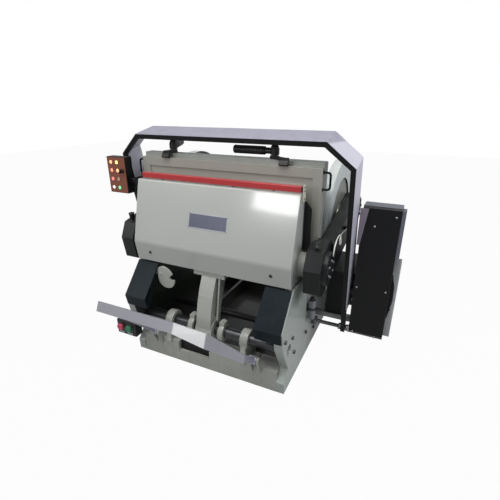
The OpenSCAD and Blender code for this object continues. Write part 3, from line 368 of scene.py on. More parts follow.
# A bare metal finish: streaks move the colour and roughness, oil and handling darken it.
def makeMetal(name, f):
    m = bpy.data.materials.new(name)
    m.use_nodes = True
    tree = m.node_tree
    shader = tree.nodes["Principled BSDF"]
    alongX, alongY, alongZ = map(float, f["streak"])
    grain = put(
        tree, "Group", dict(node_tree=groups["metalGrain"]), Along_X=alongX, Along_Y=alongY, Along_Z=alongZ,
        Spangle=f.get("spangle", 0.0), Spangle_Size=55.0,
    )
    where = objectPlace(tree)
    stain = remap(tree, noise(tree, where, 7.0, 6.0, 0.65), 0.4, 0.8)
    streak = maths(tree, "MULTIPLY", grain.outputs["Streak"], 0.5)
    mixed = maths(tree, "ADD", streak, grain.outputs["Cells"], True)
    colour = blendColour(tree, "MIX", remap(tree, mixed, 0.15, 0.75), linear(f["dark"]), linear(f["metal"]))
    stained = maths(tree, "MULTIPLY", stain, f["wear"])
    dirty = blendColour(tree, "MULTIPLY", stained, colour, (0.45, 0.43, 0.40, 1))
    dust = put(tree, "Group", dict(node_tree=groups["settledDust"]), Amount=0.12).outputs[0]
    tree.links.new(blendColour(tree, "MIX", dust, dirty, (0.4, 0.39, 0.37, 1)), shader.inputs["Base Color"])
    rough = maths(tree, "ADD", f["rough"] - 0.1, maths(tree, "MULTIPLY", mixed, 0.2))
    rougher = maths(tree, "ADD", rough, maths(tree, "MULTIPLY", stain, 0.12), True)
    tree.links.new(rougher, shader.inputs["Roughness"])
    bump = put(tree, "Bump", None, Strength=0.12, Distance=0.0006, Height=grain.outputs["Streak"])
    tree.links.new(bump.outputs[0], shader.inputs["Normal"])
    shader.inputs["Metallic"].default_value = f["metallic"]
    return m


# A lit lens: its own light, paler along its moulded ribs.
def makeLamp(name, colour, strength):
    m = bpy.data.materials.new(name)
    m.use_nodes = True
    tree = m.node_tree
    shader = tree.nodes["Principled BSDF"]
    bands = dict(wave_type="BANDS", bands_direction="Z")
    ribs = put(tree, "TexWave", bands, Vector=objectPlace(tree), Scale=90.0).outputs["Fac"]
    pale = remap(tree, ribs, 0.0, 1.0, 0.0, 0.35)
    tint = blendColour(tree, "MIX", pale, linear(colour), (1.0, 0.95, 0.85, 1))
    tree.links.new(tint, shader.inputs["Base Color"])
    tree.links.new(tint, shader.inputs["Emission Color"])
    tree.links.new(remap(tree, ribs, 0.0, 1.0, 0.15, 0.3), shader.inputs["Roughness"])
    shader.inputs["Emission Strength"].default_value = strength
    shader.inputs["Coat Weight"].default_value = 0.5
    return m


# Two finishes of one kind on one part: the first inside the zone that the mask draws, the other elsewhere.
def zoned(name, inside, outside, mask):
    m = finish[outside].copy()
    m.name = name
    tree = m.node_tree
    shader = tree.nodes["Principled BSDF"]
    here = put(tree, "SeparateXYZ", None, Vector=objectPlace(tree)).outputs
    elsewhere = shader.inputs["Base Color"].links[0].from_socket
    colour = blendColour(tree, "MIX", mask(tree, here), elsewhere, linear(inside))
    tree.links.new(colour, shader.inputs["Base Color"])
    finish[name] = m


# One between low and high, with soft ends as wide as given.
def band(tree, value, low, high, soft):
    rise = remap(tree, value, low - soft, low + soft)
    fall = remap(tree, value, high - soft, high + soft, 1.0, 0.0)
    return maths(tree, "MULTIPLY", rise, fall)


# How far a point is from an axis along X.
def fromAxis(tree, here, y, z):
    dy, dz = maths(tree, "SUBTRACT", here["Y"], y), maths(tree, "SUBTRACT", here["Z"], z)
    square = maths(tree, "ADD", maths(tree, "MULTIPLY", dy, dy), maths(tree, "MULTIPLY", dz, dz))
    return maths(tree, "SQRT", square)


finish = {name: makeEnamel(name, f) for name, f in enamels.items()}
finish.update({name: makeMetal(name, f) for name, f in metals.items()})

# Lamp lenses: colour, and how strongly each is lit.
lampLenses = dict(
    lampRed=((0.95, 0.18, 0.12), 1.1),
    lampAmber=((1.0, 0.55, 0.08), 1.5),
    lampYellow=((1.0, 0.82, 0.2), 1.7),
    lampGreen=((0.15, 0.85, 0.45), 0.9),
    lampWhite=((0.95, 0.95, 0.9), 0.7),
    lampOrange=((0.98, 0.42, 0.12), 1.0),
    lampCopper=((0.62, 0.36, 0.12), 0.4),
)
for lampName, (lampColour, lampStrength) in lampLenses.items():
    finish[lampName] = makeLamp(lampName, lampColour, lampStrength)

# Where each joint turns, in metres.
pivots = {j["name"]: np.array(j.get("pos_m") or (0, 0, 0)) for j in frame["joints"]}

# Zoned finishes, in metres: the hoop's legs carry painted light, whiter than its top; a stretch of the foot
# bar carries a painted highlight; the gears are painted inside their greasy rims; the frames' and the base's
# insides carry painted shade; and the belt cover's top carries painted sheen, a lighter grey.
zones = dict(
    hoopLegs=(0.0, 1.625), footHighlight=(-0.006, 0.226), gearWeb=(0.09, 0.40), baseInside=(-0.245, 0.848),
    frameInner=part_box("side_frame_right")[0][0] + 0.0005, coverTop=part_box("belt_cover")[1][2] - 0.0015,
)
# Painted light: the hoop's legs are whiter than its top, where more light falls on them.
zoned("hoopZincLitLegs", (0.90, 0.89, 0.94), "zinc",
      lambda tree, here: band(tree, here["Z"], *zones["hoopLegs"], 0.006))
# Painted highlight: a white stretch along the foot bar where a reflection would fall.
zoned("footSteelHighlight", (1.0, 1.0, 1.0), "rolledAluminium",
      lambda tree, here: band(tree, here["X"], *zones["footHighlight"], 0.004))
zoned("gearPaint", (0.66, 0.67, 0.64), "gearIron",
      lambda tree, here: band(tree, fromAxis(tree, here, *pivots["crank_turn"][1:]), *zones["gearWeb"],
                              0.004))
# Painted shade: the frames' inner faces are dark grey-green between the frames.
zoned("frameShadedInside", (0.22, 0.24, 0.215), "frameGrey",
      lambda tree, here: band(tree, here["X"], -zones["frameInner"], zones["frameInner"], 0.0004))
# Painted shade: the base is dark grey inside, behind its front wall.
zoned("baseShadedInside", (0.20, 0.21, 0.19), "castGrey",
      lambda tree, here: band(tree, here["Y"], *zones["baseInside"], 0.0006))
# Painted sheen: the belt cover's top face is a lighter grey than its black sides.
zoned("coverSheenTop", (0.44, 0.45, 0.48), "coverBlack",
      lambda tree, here: band(tree, here["Z"], zones["coverTop"], zones["coverTop"] + 0.09, 0.0004))
print("finishes made:", len(finish))

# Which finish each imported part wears, and how wide its softened edges are, in metres.
wears = {
    "baseShadedInside": (["base"], 0.005),
    "castGrey": (["bed", "pivot_pedestals", "platen", "rocker_arm", "front_brackets", "lock_hook",
                  "shaft_collars"], 0.005),
    # The bed's ribs and the cross ties wear painted shade.
    "innerShadeGrey": (["bed_ribs", "cross_ties"], 0.004),
    "frameShadedInside": (["side_frame_left", "side_frame_right"], 0.006),
    "apronGrey": (["platen_cover", "drive_brackets"], 0.0015),
    "guardWhite": (["gear_guard_left", "gear_guard_right"], 0.0012),
    "guardGrey": (["flywheel_guard"], 0.0012),
    # The platen's end plates wear this near-black as painted shade on the platen's shadowed ends.
    "charcoal": (["rod_left", "rod_right", "rod_caps_left", "rod_caps_right", "platen_end_plates",
                  "clutch_hub", "flywheel", "motor_pulley"], 0.004),
    "coverSheenTop": (["belt_cover"], 0.0012),
    # The waste tray is a black box standing in for the shadow in the base's front notch: painted shade.
    "coverBlack": (["hoop_frame", "drive_guard", "waste_tray", "panel_box", "clamp_hooks", "clamp_left",
                    "clamp_right"], 0.0012),
    "navy": (["shin_panels", "chase_handles"], 0.0012),
    "plasticBlack": (["button_station", "panel_knob"], 0.003),
    "plasticRed": (["stop_button"], 0.002),
    "plasticGreen": (["start_button"], 0.002),
    "lampAmber": (["panel_lamps"], 0.001),
    "hoopZincLitLegs": (["hoop_skin"], 0.0008),
    "zinc": (["foot_arms"], 0.0008),
    "turnedSteel": (["crank_shaft", "pinion_shaft", "hoop_pivot_rods"], 0.0015),
    "boltSteel": (["pivot_shaft", "frame_bolts", "bearing_housings", "cutting_rules"], 0.001),
    "gearPaint": (["main_gear_left", "main_gear_right"], 0.001),
    "groundPlate": (["cutting_plate"], 0.001),
    "footSteelHighlight": (["foot_bar"], 0.0015),
    "printedPlate": (["cover_trim"], 0.0004),
    "signalRed": (["brake_bar"], 0.002),
    "motorGreen": (["motor"], 0.0015),
    "rubberBlack": (["v_belts"], 0.0005),
    "nylon": (["oil_line"], 0.0003),
    "chaseBeige": (["die_chase", "die_board"], 0.002),
}


# Joins the part's loose triangles, merges its flat faces and rounds its sharp edges.
def soften(part, width, steps=2):
    weld = part.modifiers.new("weld", "WELD")
    weld.merge_threshold = 0.00002
    flat = part.modifiers.new("flat", "DECIMATE")
    flat.decimate_type = "DISSOLVE"
    flat.angle_limit = math.radians(1.5)
    edge = part.modifiers.new("edge", "BEVEL")
    edge.width = width
    edge.segments = steps
    edge.limit_method = "ANGLE"
    edge.angle_limit = math.radians(32)
    edge.harden_normals = True


for finishName, (partNames, edgeWidth) in wears.items():
    for partName in partNames:
        part = nodes[partName]
        part.data.materials.clear()
        part.data.materials.append(finish[finishName])
        soften(part, edgeWidth)
left = sorted(set(nodes) - {n for names, width in wears.values() for n in names})
print("packed parts finished; without a finish:", left)


# Computed surfaces: every skin is an array of rings, rows by columns by three.
# Each corner becomes a quadratic curve that starts and ends the radius away from it, at most 0.45 of a side.
def softCorners(points, radius, steps=6, closed=True):
    p = np.asarray(points, float)
    back, ahead = np.roll(p, 1, 0) - p, np.roll(p, -1, 0) - p
    backLong, aheadLong = np.linalg.norm(back, axis=1)[:, None], np.linalg.norm(ahead, axis=1)[:, None]
    r = np.minimum(np.broadcast_to(radius, len(p))[:, None], 0.45 * np.minimum(backLong, aheadLong))
    start, end = (p + back / backLong * r)[:, None], (p + ahead / aheadLong * r)[:, None]
    t = np.linspace(0, 1, steps)[None, :, None]
    curves = (1 - t) ** 2 * start + 2 * t * (1 - t) * p[:, None] + t * t * end
    if closed:
        return curves.reshape(-1, p.shape[1])
    return np.concatenate([p[:1], curves[1:-1].reshape(-1, p.shape[1]), p[-1:]])


# Moves a closed outline inwards: each point goes along the sum of its two edges' left normals.
def inset(outline, amount):
    d = np.roll(outline, -1, 0) - outline
    d = d / np.maximum(np.linalg.norm(d, axis=1), 1e-9)[:, None]
    left = np.stack([-d[:, 1], d[:, 0]], 1)
    before = np.roll(left, 1, 0)
    return outline + (left + before) / np.maximum(1 + (left * before).sum(1), 0.4)[:, None] * amount


# A plate: the outline rises from low to high, and at each face it shrinks along a quarter circle of the
# rim's radius.
def plate(outline, low, high, rim=0.001, steps=4):
    o = np.asarray(outline, float)
    area = (o[:, 0] * np.roll(o[:, 1], -1) - np.roll(o[:, 0], -1) * o[:, 1]).sum()
    o = o if area > 0 else o[::-1]
    a = np.linspace(0, math.pi / 2, steps)
    shrink = np.r_[rim * (1 - np.sin(a)), rim * (1 - np.cos(a))]
    level = np.r_[low + rim * (1 - np.cos(a)), high - rim * (1 - np.sin(a))]
    return np.stack([np.c_[inset(o, s), np.full(len(o), w)] for s, w in zip(shrink, level)])


# A turned part: each (radius, height) of the profile goes once round the w axis.
def revolve(profile, steps):
    r, h = np.asarray(profile, float).T[:, :, None]
    a = np.linspace(0, 2 * math.pi, steps, endpoint=False)[None]
    return np.stack([r * np.cos(a), r * np.sin(a), h + 0 * a], -1)


# Carries a flat section along a path, square to the path's direction, its second axis nearest to upright.
def carry(section, path, upright):
    p = np.asarray(path, float)
    d = np.gradient(p, axis=0)
    d /= np.linalg.norm(d, axis=1)[:, None]
    across = np.cross(d, upright)
    across /= np.linalg.norm(across, axis=1)[:, None]
    top = np.cross(across, d)
    s = np.asarray(section, float)
    return p[:, None] + s[None, :, :1] * across[:, None] + s[None, :, 1:] * top[:, None]


def ring(radius, steps):
    a = np.linspace(0, 2 * math.pi, steps, endpoint=False)
    return np.stack([radius * np.cos(a), radius * np.sin(a)], 1)


def rectangle(left, right, low, high):
    return np.array([(left, low), (right, low), (right, high), (left, high)])


def block(width, height):
    return rectangle(-width, width, -height, height) / 2


# From a skin's own (u, v, w) to the machine's frame: place + u times right + v times up + w times out.
def stood(skin, place, right=(1, 0, 0), up=(0, 0, 1), out=(0, -1, 0)):
    return np.asarray(place) + np.asarray(skin) @ np.array([right, up, out], float)


# u along Y, v along Z, w along X.
def sideways(skin, place=(0, 0, 0)):
    return stood(skin, place, (0, 1, 0), (0, 0, 1), (1, 0, 0))


def upward(skin, place):
    return stood(skin, place, (1, 0, 0), (0, 1, 0), (0, 0, 1))


def otherSide(skin):
    return skin * np.array([-1, 1, 1])


# One piece: neighbouring rings are joined by quads, and the end rings are closed unless they meet.
def makePiece(name, body, skins, stands=(), sharp=40):
    used = list(dict.fromkeys(kind for kind, rings in skins))
    places, faces, kinds, start = [], [], [], 0
    for kind, rings in skins:
        meets = np.allclose(rings[0], rings[-1])
        rings = rings[:-1] if meets else rings
        index = start + np.arange(rings.shape[0] * rings.shape[1]).reshape(rings.shape[:2])
        lower, upper = (index, np.roll(index, -1, 0)) if meets else (index[:-1], index[1:])
        sides = np.stack([lower, np.roll(lower, -1, 1), np.roll(upper, -1, 1), upper], -1)
        quads = sides.reshape(-1, 4).tolist()
        ends = [] if meets else [index[0, ::-1].tolist(), index[-1].tolist()]
        faces += quads + ends
        kinds += [used.index(kind)] * len(quads + ends)
        places.append(rings.reshape(-1, 3))
        start += index.size
    mesh = bpy.data.meshes.new(name)
    mesh.from_pydata(np.concatenate(places).tolist(), [], faces)
    mesh.polygons.foreach_set("material_index", kinds)
    for kind in used:
        mesh.materials.append(finish[kind])
    whole = bmesh.new()
    whole.from_mesh(mesh)
    bmesh.ops.recalc_face_normals(whole, faces=whole.faces)
    whole.to_mesh(mesh)
    whole.free()
    mesh.shade_smooth()
    mesh.set_sharp_from_angle(angle=math.radians(sharp))
    piece = bpy.data.objects.new(name, mesh)
    scene.collection.objects.link(piece)
    even = piece.modifiers.new("even", "WEIGHTED_NORMAL")
    even.keep_sharp = True
    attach(piece, body)
    if stands:
        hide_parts(*stands)
    return piece


def corners(part):
    return (np.array(corner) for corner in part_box(part))


# A screw head: washer, rounded rim and a recess, out along w.
def screwHead(radius, height, washer=1.5):
    return revolve([(radius * washer, 0), (radius * washer, height * 0.22), (radius, height * 0.24),
                    (radius, height * 0.8), (radius * 0.85, height), (radius * 0.52, height),
                    (radius * 0.5, height * 0.45), (0.0006, height * 0.42)], 24)


# Apron: a sheet folded over the platen with a cheek at each end; its section has u back and v up.
apron = dict(
    sheet=0.004, creaseRise=0.145, topSetback=0.115, footSetback=0.023, topRadius=0.007, foldRadius=0.016,
    cheekSetback=0.028, notchRadius=0.088, postX=(-0.42, 0.14, 0.42), postRadius=0.016, postWall=0.009,
    postDepth=0.018, lugX=(-0.5, 0.5), lugHalf=0.02, lugDrop=0.02,
)
low, high = corners("platen_cover")
crease = np.array([low[1], low[2] + apron["creaseRise"]])
top = np.array([crease[0] + apron["topSetback"], high[2]])
foot = np.array([low[1] + apron["footSetback"], low[2]])
bends = (0, apron["topRadius"], apron["foldRadius"], 0)
outer = softCorners([(high[1], high[2]), top, crease, foot], bends, 10, closed=False)
flow = np.gradient(outer, axis=0)
flow /= np.linalg.norm(flow, axis=1)[:, None]
inner = outer + np.stack([-flow[:, 1], flow[:, 0]], 1) * apron["sheet"]
back = high[1] - apron["cheekSetback"]
underside = high[2] - apron["sheet"]
axle = pivots["right_rod_turn"][1:]
reach = math.acos((axle[0] - back) / apron["notchRadius"])
turn = np.linspace(-reach, reach, 16)
notch = axle + apron["notchRadius"] * np.stack([-np.cos(turn), np.sin(turn)], 1)
cheek = np.concatenate([inner[1:], [(back, foot[1])], notch, [(back, underside)]])
cheekSkin = sideways(plate(cheek, high[0] - apron["sheet"], high[0], 0.0008))
folded = sideways(plate(np.concatenate([outer, inner[::-1]]), low[0], high[0], 0.0012))
skins = [("apronGrey", folded), ("apronGrey", cheekSkin), ("apronGrey", otherSide(cheekSkin))]
barLow, barHigh = corners("brake_bar")
barY = (barLow[1] + barHigh[1]) / 2
r, deep, bore = apron["postRadius"], apron["postDepth"], apron["postRadius"] - apron["postWall"]
sleeve = revolve([(r, 0.001), (r, deep), (bore, deep), (bore, 0.001), (r, 0.001)], 20)
for x in apron["postX"]:
    skins.append(("apronGrey", upward(sleeve, (x, barY, underside - deep))))
for x in apron["lugX"]:
    lug = softCorners(rectangle(x - apron["lugHalf"], x + apron["lugHalf"], top[0] + 0.02, back), 0.004)
    skins.append(("apronGrey", upward(plate(lug, -apron["lugDrop"], 0.0006, 0.001), (0, 0, underside))))
makePiece("apron", "platen_swing", skins, ["platen_cover"], 30)

# The apron's slope and its lower bevel: each one's up direction and the direction it faces.
slopeUp = np.array([0, top[0] - crease[0], top[1] - crease[1]])
slopeUp /= np.linalg.norm(slopeUp)
slopeOut = np.array([0, -slopeUp[2], slopeUp[1]])
bevelUp = np.array([0, crease[0] - foot[0], crease[1] - foot[1]])
bevelUp /= np.linalg.norm(bevelUp)
bevelOut = np.array([0, -bevelUp[2], bevelUp[1]])

# Name plate, bare: a rolled edge, a printed field and a rivet in each corner.
namePlate = dict(
    x=-0.004, height=1.11, width=0.3, tall=0.104, thick=0.002, corner=0.006, border=0.007, rivet=0.0035,
    rivetsIn=0.012,
)
share = (namePlate["height"] - crease[1]) / (top[1] - crease[1])
middle = (namePlate["x"], crease[0] + share * (top[0] - crease[0]), namePlate["height"])
wide, tall, thick, r = (namePlate[key] for key in ("width", "tall", "thick", "rivet"))
face = softCorners(block(wide, tall), namePlate["corner"], 5)
field = softCorners(block(wide - 2 * namePlate["border"], tall - 2 * namePlate["border"]), 0.004, 5)
skins = [("rolledAluminium", plate(face, 0.0002, thick * 0.7, 0.0005)),
         ("printedPlate", plate(field, thick * 0.5, thick, 0.0003))]
dome = revolve([(r, 0.0012), (r * 0.9, 0.0022), (r * 0.5, 0.003), (0.0004, 0.0032)], 14)
for u, v in block(wide - namePlate["rivetsIn"], tall - namePlate["rivetsIn"]):
    skins.append(("boltSteel", dome + (u, v, 0)))
skins = [(kind, stood(skin, middle, (1, 0, 0), slopeUp, slopeOut)) for kind, skin in skins]
makePiece("namePlate", "platen_swing", skins, ["cover_trim"])

# Two dark socket screws in the apron's lower bevel.
apronScrews = dict(x=(-0.48, 0.47), radius=0.008, height=0.006)
bevelMiddle = (crease + foot) / 2
head = screwHead(apronScrews["radius"], apronScrews["height"])
skins = [("boltSteel", stood(head, (x, *bevelMiddle), (1, 0, 0), bevelUp, bevelOut))
         for x in apronScrews["x"]]
makePiece("apronScrews", "platen_swing", skins, ["cover_trim"])

# Brake bar: a red box tube on three posts, with a black cap pressed into each end.
brakeBar = dict(height=0.036, cap=0.012, corner=0.004, post=0.007, capFit=0.001)
wide, tall, cap, fit = barHigh[1] - barLow[1], brakeBar["height"], brakeBar["cap"], brakeBar["capFit"]
section = softCorners(block(wide, tall), brakeBar["corner"], 5)
plug = softCorners(block(wide - fit, tall - fit), brakeBar["corner"], 5)
centre = (0, barY, barHigh[2] - tall / 2)
skins = [("signalRed", sideways(plate(section, barLow[0] + cap, barHigh[0] - cap, 0.0006), centre)),
         ("plasticBlack", sideways(plate(plug, barLow[0], barLow[0] + cap + fit, 0.002), centre)),
         ("plasticBlack", sideways(plate(plug, barHigh[0] - cap - fit, barHigh[0], 0.002), centre))]
r, drop = brakeBar["post"], barHigh[2] - tall - barLow[2]
post = revolve([(r - 0.002, 0), (r, 0.003), (r, drop + 0.004)], 18)
for x in apron["postX"]:
    skins.append(("turnedSteel", upward(post, (x, barY, barLow[2]))))
makePiece("brakeBar", "brake", skins, ["brake_bar"])

# Cream stop beside the bar's right end, on a spacer against the apron's cheek; heights are from the floor.
barStop = dict(
    gap=0.0008, thick=0.004, low=1.296, shoulder=1.37, high=1.392, spacer=(1.3, 1.33),
    screws=(1.31, 1.356, 1.378),
)
stopIn = barHigh[0] + barStop["gap"]
stopOut = stopIn + barStop["thick"]
outline = softCorners([(barY - 0.022, barStop["low"]), (barY + 0.024, barStop["low"]),
                       (barY + 0.024, barStop["shoulder"]), (barY + 0.012, barStop["high"]),
                       (barY - 0.022, barStop["high"])], 0.004)
spacer = softCorners(rectangle(barY - 0.016, barY + 0.018, *barStop["spacer"]), 0.003)
skins = [("creamPaint", sideways(plate(outline, stopIn, stopOut, 0.0008))),
         ("creamPaint", sideways(plate(spacer, high[0] + 0.0002, stopIn + 0.001, 0.0004)))]
for z in barStop["screws"]:
    skins.append(("boltSteel", sideways(screwHead(0.004, 0.003), (stopOut, barY, z))))
makePiece("barStop", "platen_swing", skins)
print("platen dressed")

# Chase handles: a round bar bent into a D, each foot in a small flange on the chase's edge.
chaseHandle = dict(radius=0.007, bend=0.022, flange=0.013, flangeThick=0.004)
low, high = corners("chase_handles")
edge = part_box("die_chase")[1][0]
y = (low[1] + high[1]) / 2
r, bend = chaseHandle["radius"], chaseHandle["bend"]
out, lower, upper = high[0] - r, low[2] + r, high[2] - r
bar = [(edge, y, lower), (out, y, lower), (out, y, upper), (edge, y, upper)]
skins = [("navy", carry(ring(r, 14), softCorners(bar, (0, bend, bend, 0), 9, closed=False), (0, 1, 0)))]
wide, thick = chaseHandle["flange"], chaseHandle["flangeThick"]
flange = revolve([(r * 0.9, 0.0003), (wide, 0.0003), (wide, thick * 0.7), (r * 1.1, thick)], 22)
skins += [("navy", sideways(flange, (edge, y, z))) for z in (lower, upper)]
skins += [(kind, otherSide(skin)) for kind, skin in skins]
makePiece("chaseHandles", "machine", skins, ["chase_handles"])

# Bed clamps: a hub with a domed cap on the spindle, and a heavy grip with turned grooves.
clamp = dict(
    hub=0.03, hubRise=0.0245, hubTall=0.044, dome=0.03, domeShare=0.88, spindle=0.012, neck=0.02, grip=0.028,
    gripRise=0.048, gripFrom=0.075, length=0.3, tip=0.012, groove=0.0022, groovePitch=0.019, landShare=0.82,
    turns={"left_clamp": 115, "right_clamp": 180},
)
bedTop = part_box("bed")[1][2]
for side, node in (("left_clamp", "clamp_left"), ("right_clamp", "clamp_right")):
    low, high = corners(node)
    pin = pivots[side + "_turn"]
    hubLow = bedTop + clamp["hubRise"]
    hubHigh = hubLow + clamp["hubTall"]
    r = clamp["hub"]
    hub = [(r - 0.002, hubLow), (r, hubLow + 0.002), (r, hubHigh - 0.003), (r - 0.003, hubHigh)]
    t = np.linspace(0, math.pi / 2, 9)
    domeOut = 0.0006 + clamp["dome"] * clamp["domeShare"] * np.cos(t)
    dome = np.stack([domeOut, hubHigh + (high[2] - hubHigh) * np.sin(t)], 1)
    spindle = [(clamp["spindle"], low[2]), (clamp["spindle"], hubLow + 0.004)]
    skins = [("plasticBlack", upward(revolve(hub + dome.tolist(), 32), (pin[0], pin[1], 0))),
             ("turnedSteel", upward(revolve(spindle, 24), (pin[0], pin[1], 0)))]
    tipFrom = clamp["length"] - clamp["tip"]
    s = np.linspace(clamp["gripFrom"], tipFrom, 60)
    wave = np.sin((s - clamp["gripFrom"]) * 2 * math.pi / clamp["groovePitch"])
    grooved = clamp["grip"] - clamp["groove"] * (wave > clamp["landShare"])
    t = np.linspace(0.1, math.pi / 2, 6)
    tip = np.stack([clamp["grip"] * np.cos(t) + 0.0006, tipFrom + clamp["tip"] * np.sin(t)], 1)
    neck, r = clamp["neck"], clamp["grip"]
    profile = [(neck * 0.9, 0.015), (neck, 0.024), (neck, 0.062), (r - 0.003, 0.066), (r, 0.071),
               *np.stack([grooved, s], 1).tolist(), *tip.tolist()]
    angle = math.radians(clamp["turns"][side])
    along = (math.cos(angle), math.sin(angle), 0)
    place = (pin[0], pin[1], bedTop + clamp["gripRise"])
    grip = stood(revolve(profile, 36), place, (-along[1], along[0], 0), (0, 0, 1), along)
    makePiece(side.replace("_c", "C") + "Handle", side, skins + [("plasticBlack", grip)], [node])

# Clamp hooks: an arm over the bed's edge that ends in a sloped claw on the chase; X of each eye and claw.
clampHooks = dict(
    thick=0.02, eye=0.028, armRoot=0.02, armHalf=0.02, clawHalf=0.03, clawDrop=0.03,
    tips={"left": (-0.46, -0.465), "right": (0.341, 0.437)},
)
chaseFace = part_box("die_chase")[0][1]
thick, e, half, wide, drop = (clampHooks[key] for key in ("thick", "eye", "armHalf", "clawHalf", "clawDrop"))
claw = [(0.012, thick + 0.001), (-0.012, 0.002), (-0.024, -0.02), (-0.016, -drop), (-0.0004, -drop),
        (-0.0004, -0.004)]
claw = softCorners(np.array(claw) + (chaseFace, 0), 0.002, 4)
t = np.linspace(0, math.pi, 18)
skins = []
for name, (x, tip) in clampHooks["tips"].items():
    eyeY = pivots[name + "_clamp_turn"][1]
    root = eyeY - clampHooks["armRoot"]
    eye = np.stack([x + e * np.cos(t), eyeY + e * np.sin(t)], 1)
    arm = [(x - e * 0.95, root), (tip - half, chaseFace + 0.004), (tip + half, chaseFace + 0.004),
           (x + e * 0.95, root)]
    arm = plate(np.concatenate([eye, arm]), 0.0004, thick, 0.002)
    skins.append(("plasticBlack", upward(arm, (0, 0, bedTop))))
    skins.append(("plasticBlack", sideways(plate(claw, tip - wide, tip + wide, 0.002), (0, 0, bedTop))))
makePiece("clampHooks", "machine", skins, ["clamp_hooks"])
print("bed dressed")

# Oil line: milky nylon tube from the front fitting to the rear one, with one loop; its points are X off the
# rod, Y and Z, in millimetres.
oilLine = dict(
    radius=0.004, offRod=0.0103,
    points=((0, -118, 952), (0, -117, 966), (0, -108, 990), (0, -88, 1014), (0, -58, 1034), (0, -18, 1044),
            (1, 24, 1046), (3, 54, 1036), (6, 66, 1010), (9, 48, 986), (10, 18, 984), (9, 2, 1004),
            (8, 14, 1028), (6, 48, 1040), (3, 96, 1036), (0, 150, 1028), (0, 200, 1020), (0, 250, 1014),
            (0, 280, 1012), (0, 290, 1012)),
)
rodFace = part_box("rod_right")[1][0]
route = np.array(oilLine["points"], float) / 1000 + (rodFace + oilLine["offRod"], 0, 0)


# A smooth line through every point: Catmull-Rom pieces of the given number of steps.
def smoothed(points, steps=4):
    p = np.concatenate([2 * points[:1] - points[1:2], points, 2 * points[-1:] - points[-2:-1]])
    a, b, c, d = (p[i:len(p) - 3 + i, None] for i in range(4))
    t = np.linspace(0, 1, steps, endpoint=False)[None, :, None]
    curve = (2 * a - 5 * b + 4 * c - d) * t ** 2 + (3 * b - a - 3 * c + d) * t ** 3
    line = 0.5 * (2 * b + (c - a) * t + curve)
    return np.concatenate([line.reshape(-1, points.shape[1]), points[-1:]])


tubePath = smoothed(route)
tubeSkin = carry(ring(oilLine["radius"], 12), tubePath, (1, 0, 0.001))
tube = makePiece("oilLine", "right_rod", [("nylon", tubeSkin)], ["oil_line"])

# Side rods: a ring of screws on each trunnion cap.
rodTrim = dict(capThick=0.006, capBolts=6, firstTurn=30, boltCircle=0.058, boltRadius=0.0065, boltTall=0.005)
head = screwHead(rodTrim["boltRadius"], rodTrim["boltTall"])
for side, flip in (("right", 1), ("left", -1)):
    skins = []
    for k in range(rodTrim["capBolts"]):
        a = math.radians(rodTrim["firstTurn"] + 360 / rodTrim["capBolts"] * k)
        y, z = axle + rodTrim["boltCircle"] * np.array([math.cos(a), math.sin(a)])
        skins.append(("brightSteel", sideways(head, (rodFace + rodTrim["capThick"], y, z)) * (flip, 1, 1)))
    makePiece(side + "CapBolts", side + "_rod", skins)

# Push buttons: a mushroom head with a dished top, on a stem in the station.
button = dict(head=0.027, round=0.006, stem=0.0199, stemDeep=0.018)
buttons = {"stop_button": ("stop", "plasticRed", "plastic_red"),
           "start_button": ("start", "plasticGreen", "plastic_green")}
stationLow, stationHigh = corners("button_station")
front = stationLow[1]
for node, (body, kind, slotName) in buttons.items():
    low, high = corners(node)
    place = ((low[0] + high[0]) / 2, front, (low[2] + high[2]) / 2)
    deep = front - low[1]
    r, soft, stem = button["head"], button["round"], button["stem"]
    t = np.linspace(0, math.pi / 2, 7)
    rim = np.stack([r - soft + soft * np.cos(t), deep - soft + soft * np.sin(t)], 1)
    profile = [(stem, -button["stemDeep"]), (stem, 0.0073), (r - 0.002, 0.0075), (r, 0.0095), *rim.tolist(),
               (0.014, deep - 0.0012), (0.0006, deep - 0.002)]
    makePiece(body + "Button", body, [(kind, stood(revolve(profile, 40), place))], [node])

# Station trim: a ring round each button, a bare legend plate under it and a screw in each corner.
stationTrim = dict(
    ringOut=0.033, ringIn=0.0285, ringTall=0.004, label=(0.05, 0.013), labelDrop=0.0475, lidMiddle=0.089,
    screws=(0.162, 0.101),
)
o, i, h = stationTrim["ringOut"], stationTrim["ringIn"], stationTrim["ringTall"]
collar = revolve([(o, 0.0002), (o, h * 0.7), (o - 0.0015, h), (i, h), (i, 0.0002), (o, 0.0002)], 40)
label = plate(softCorners(block(*stationTrim["label"]), 0.002, 4), 0.0002, 0.0012, 0.0003)
buttonZ = (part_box("stop_button")[0][2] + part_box("stop_button")[1][2]) / 2
skins = []
for node in buttons:
    x = (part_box(node)[0][0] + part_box(node)[1][0]) / 2
    skins.append(("turnedSteel", stood(collar, (x, front, buttonZ))))
    skins.append(("rolledAluminium", stood(label, (x, front, buttonZ - stationTrim["labelDrop"]))))
x, z = stationLow[0] + stationTrim["lidMiddle"], (stationLow[2] + stationHigh[2]) / 2
for u, v in block(*stationTrim["screws"]):
    skins.append(("boltSteel", stood(screwHead(0.0035, 0.0025, 1.2), (x + u, front, z + v))))
makePiece("stationTrim", "machine", skins)

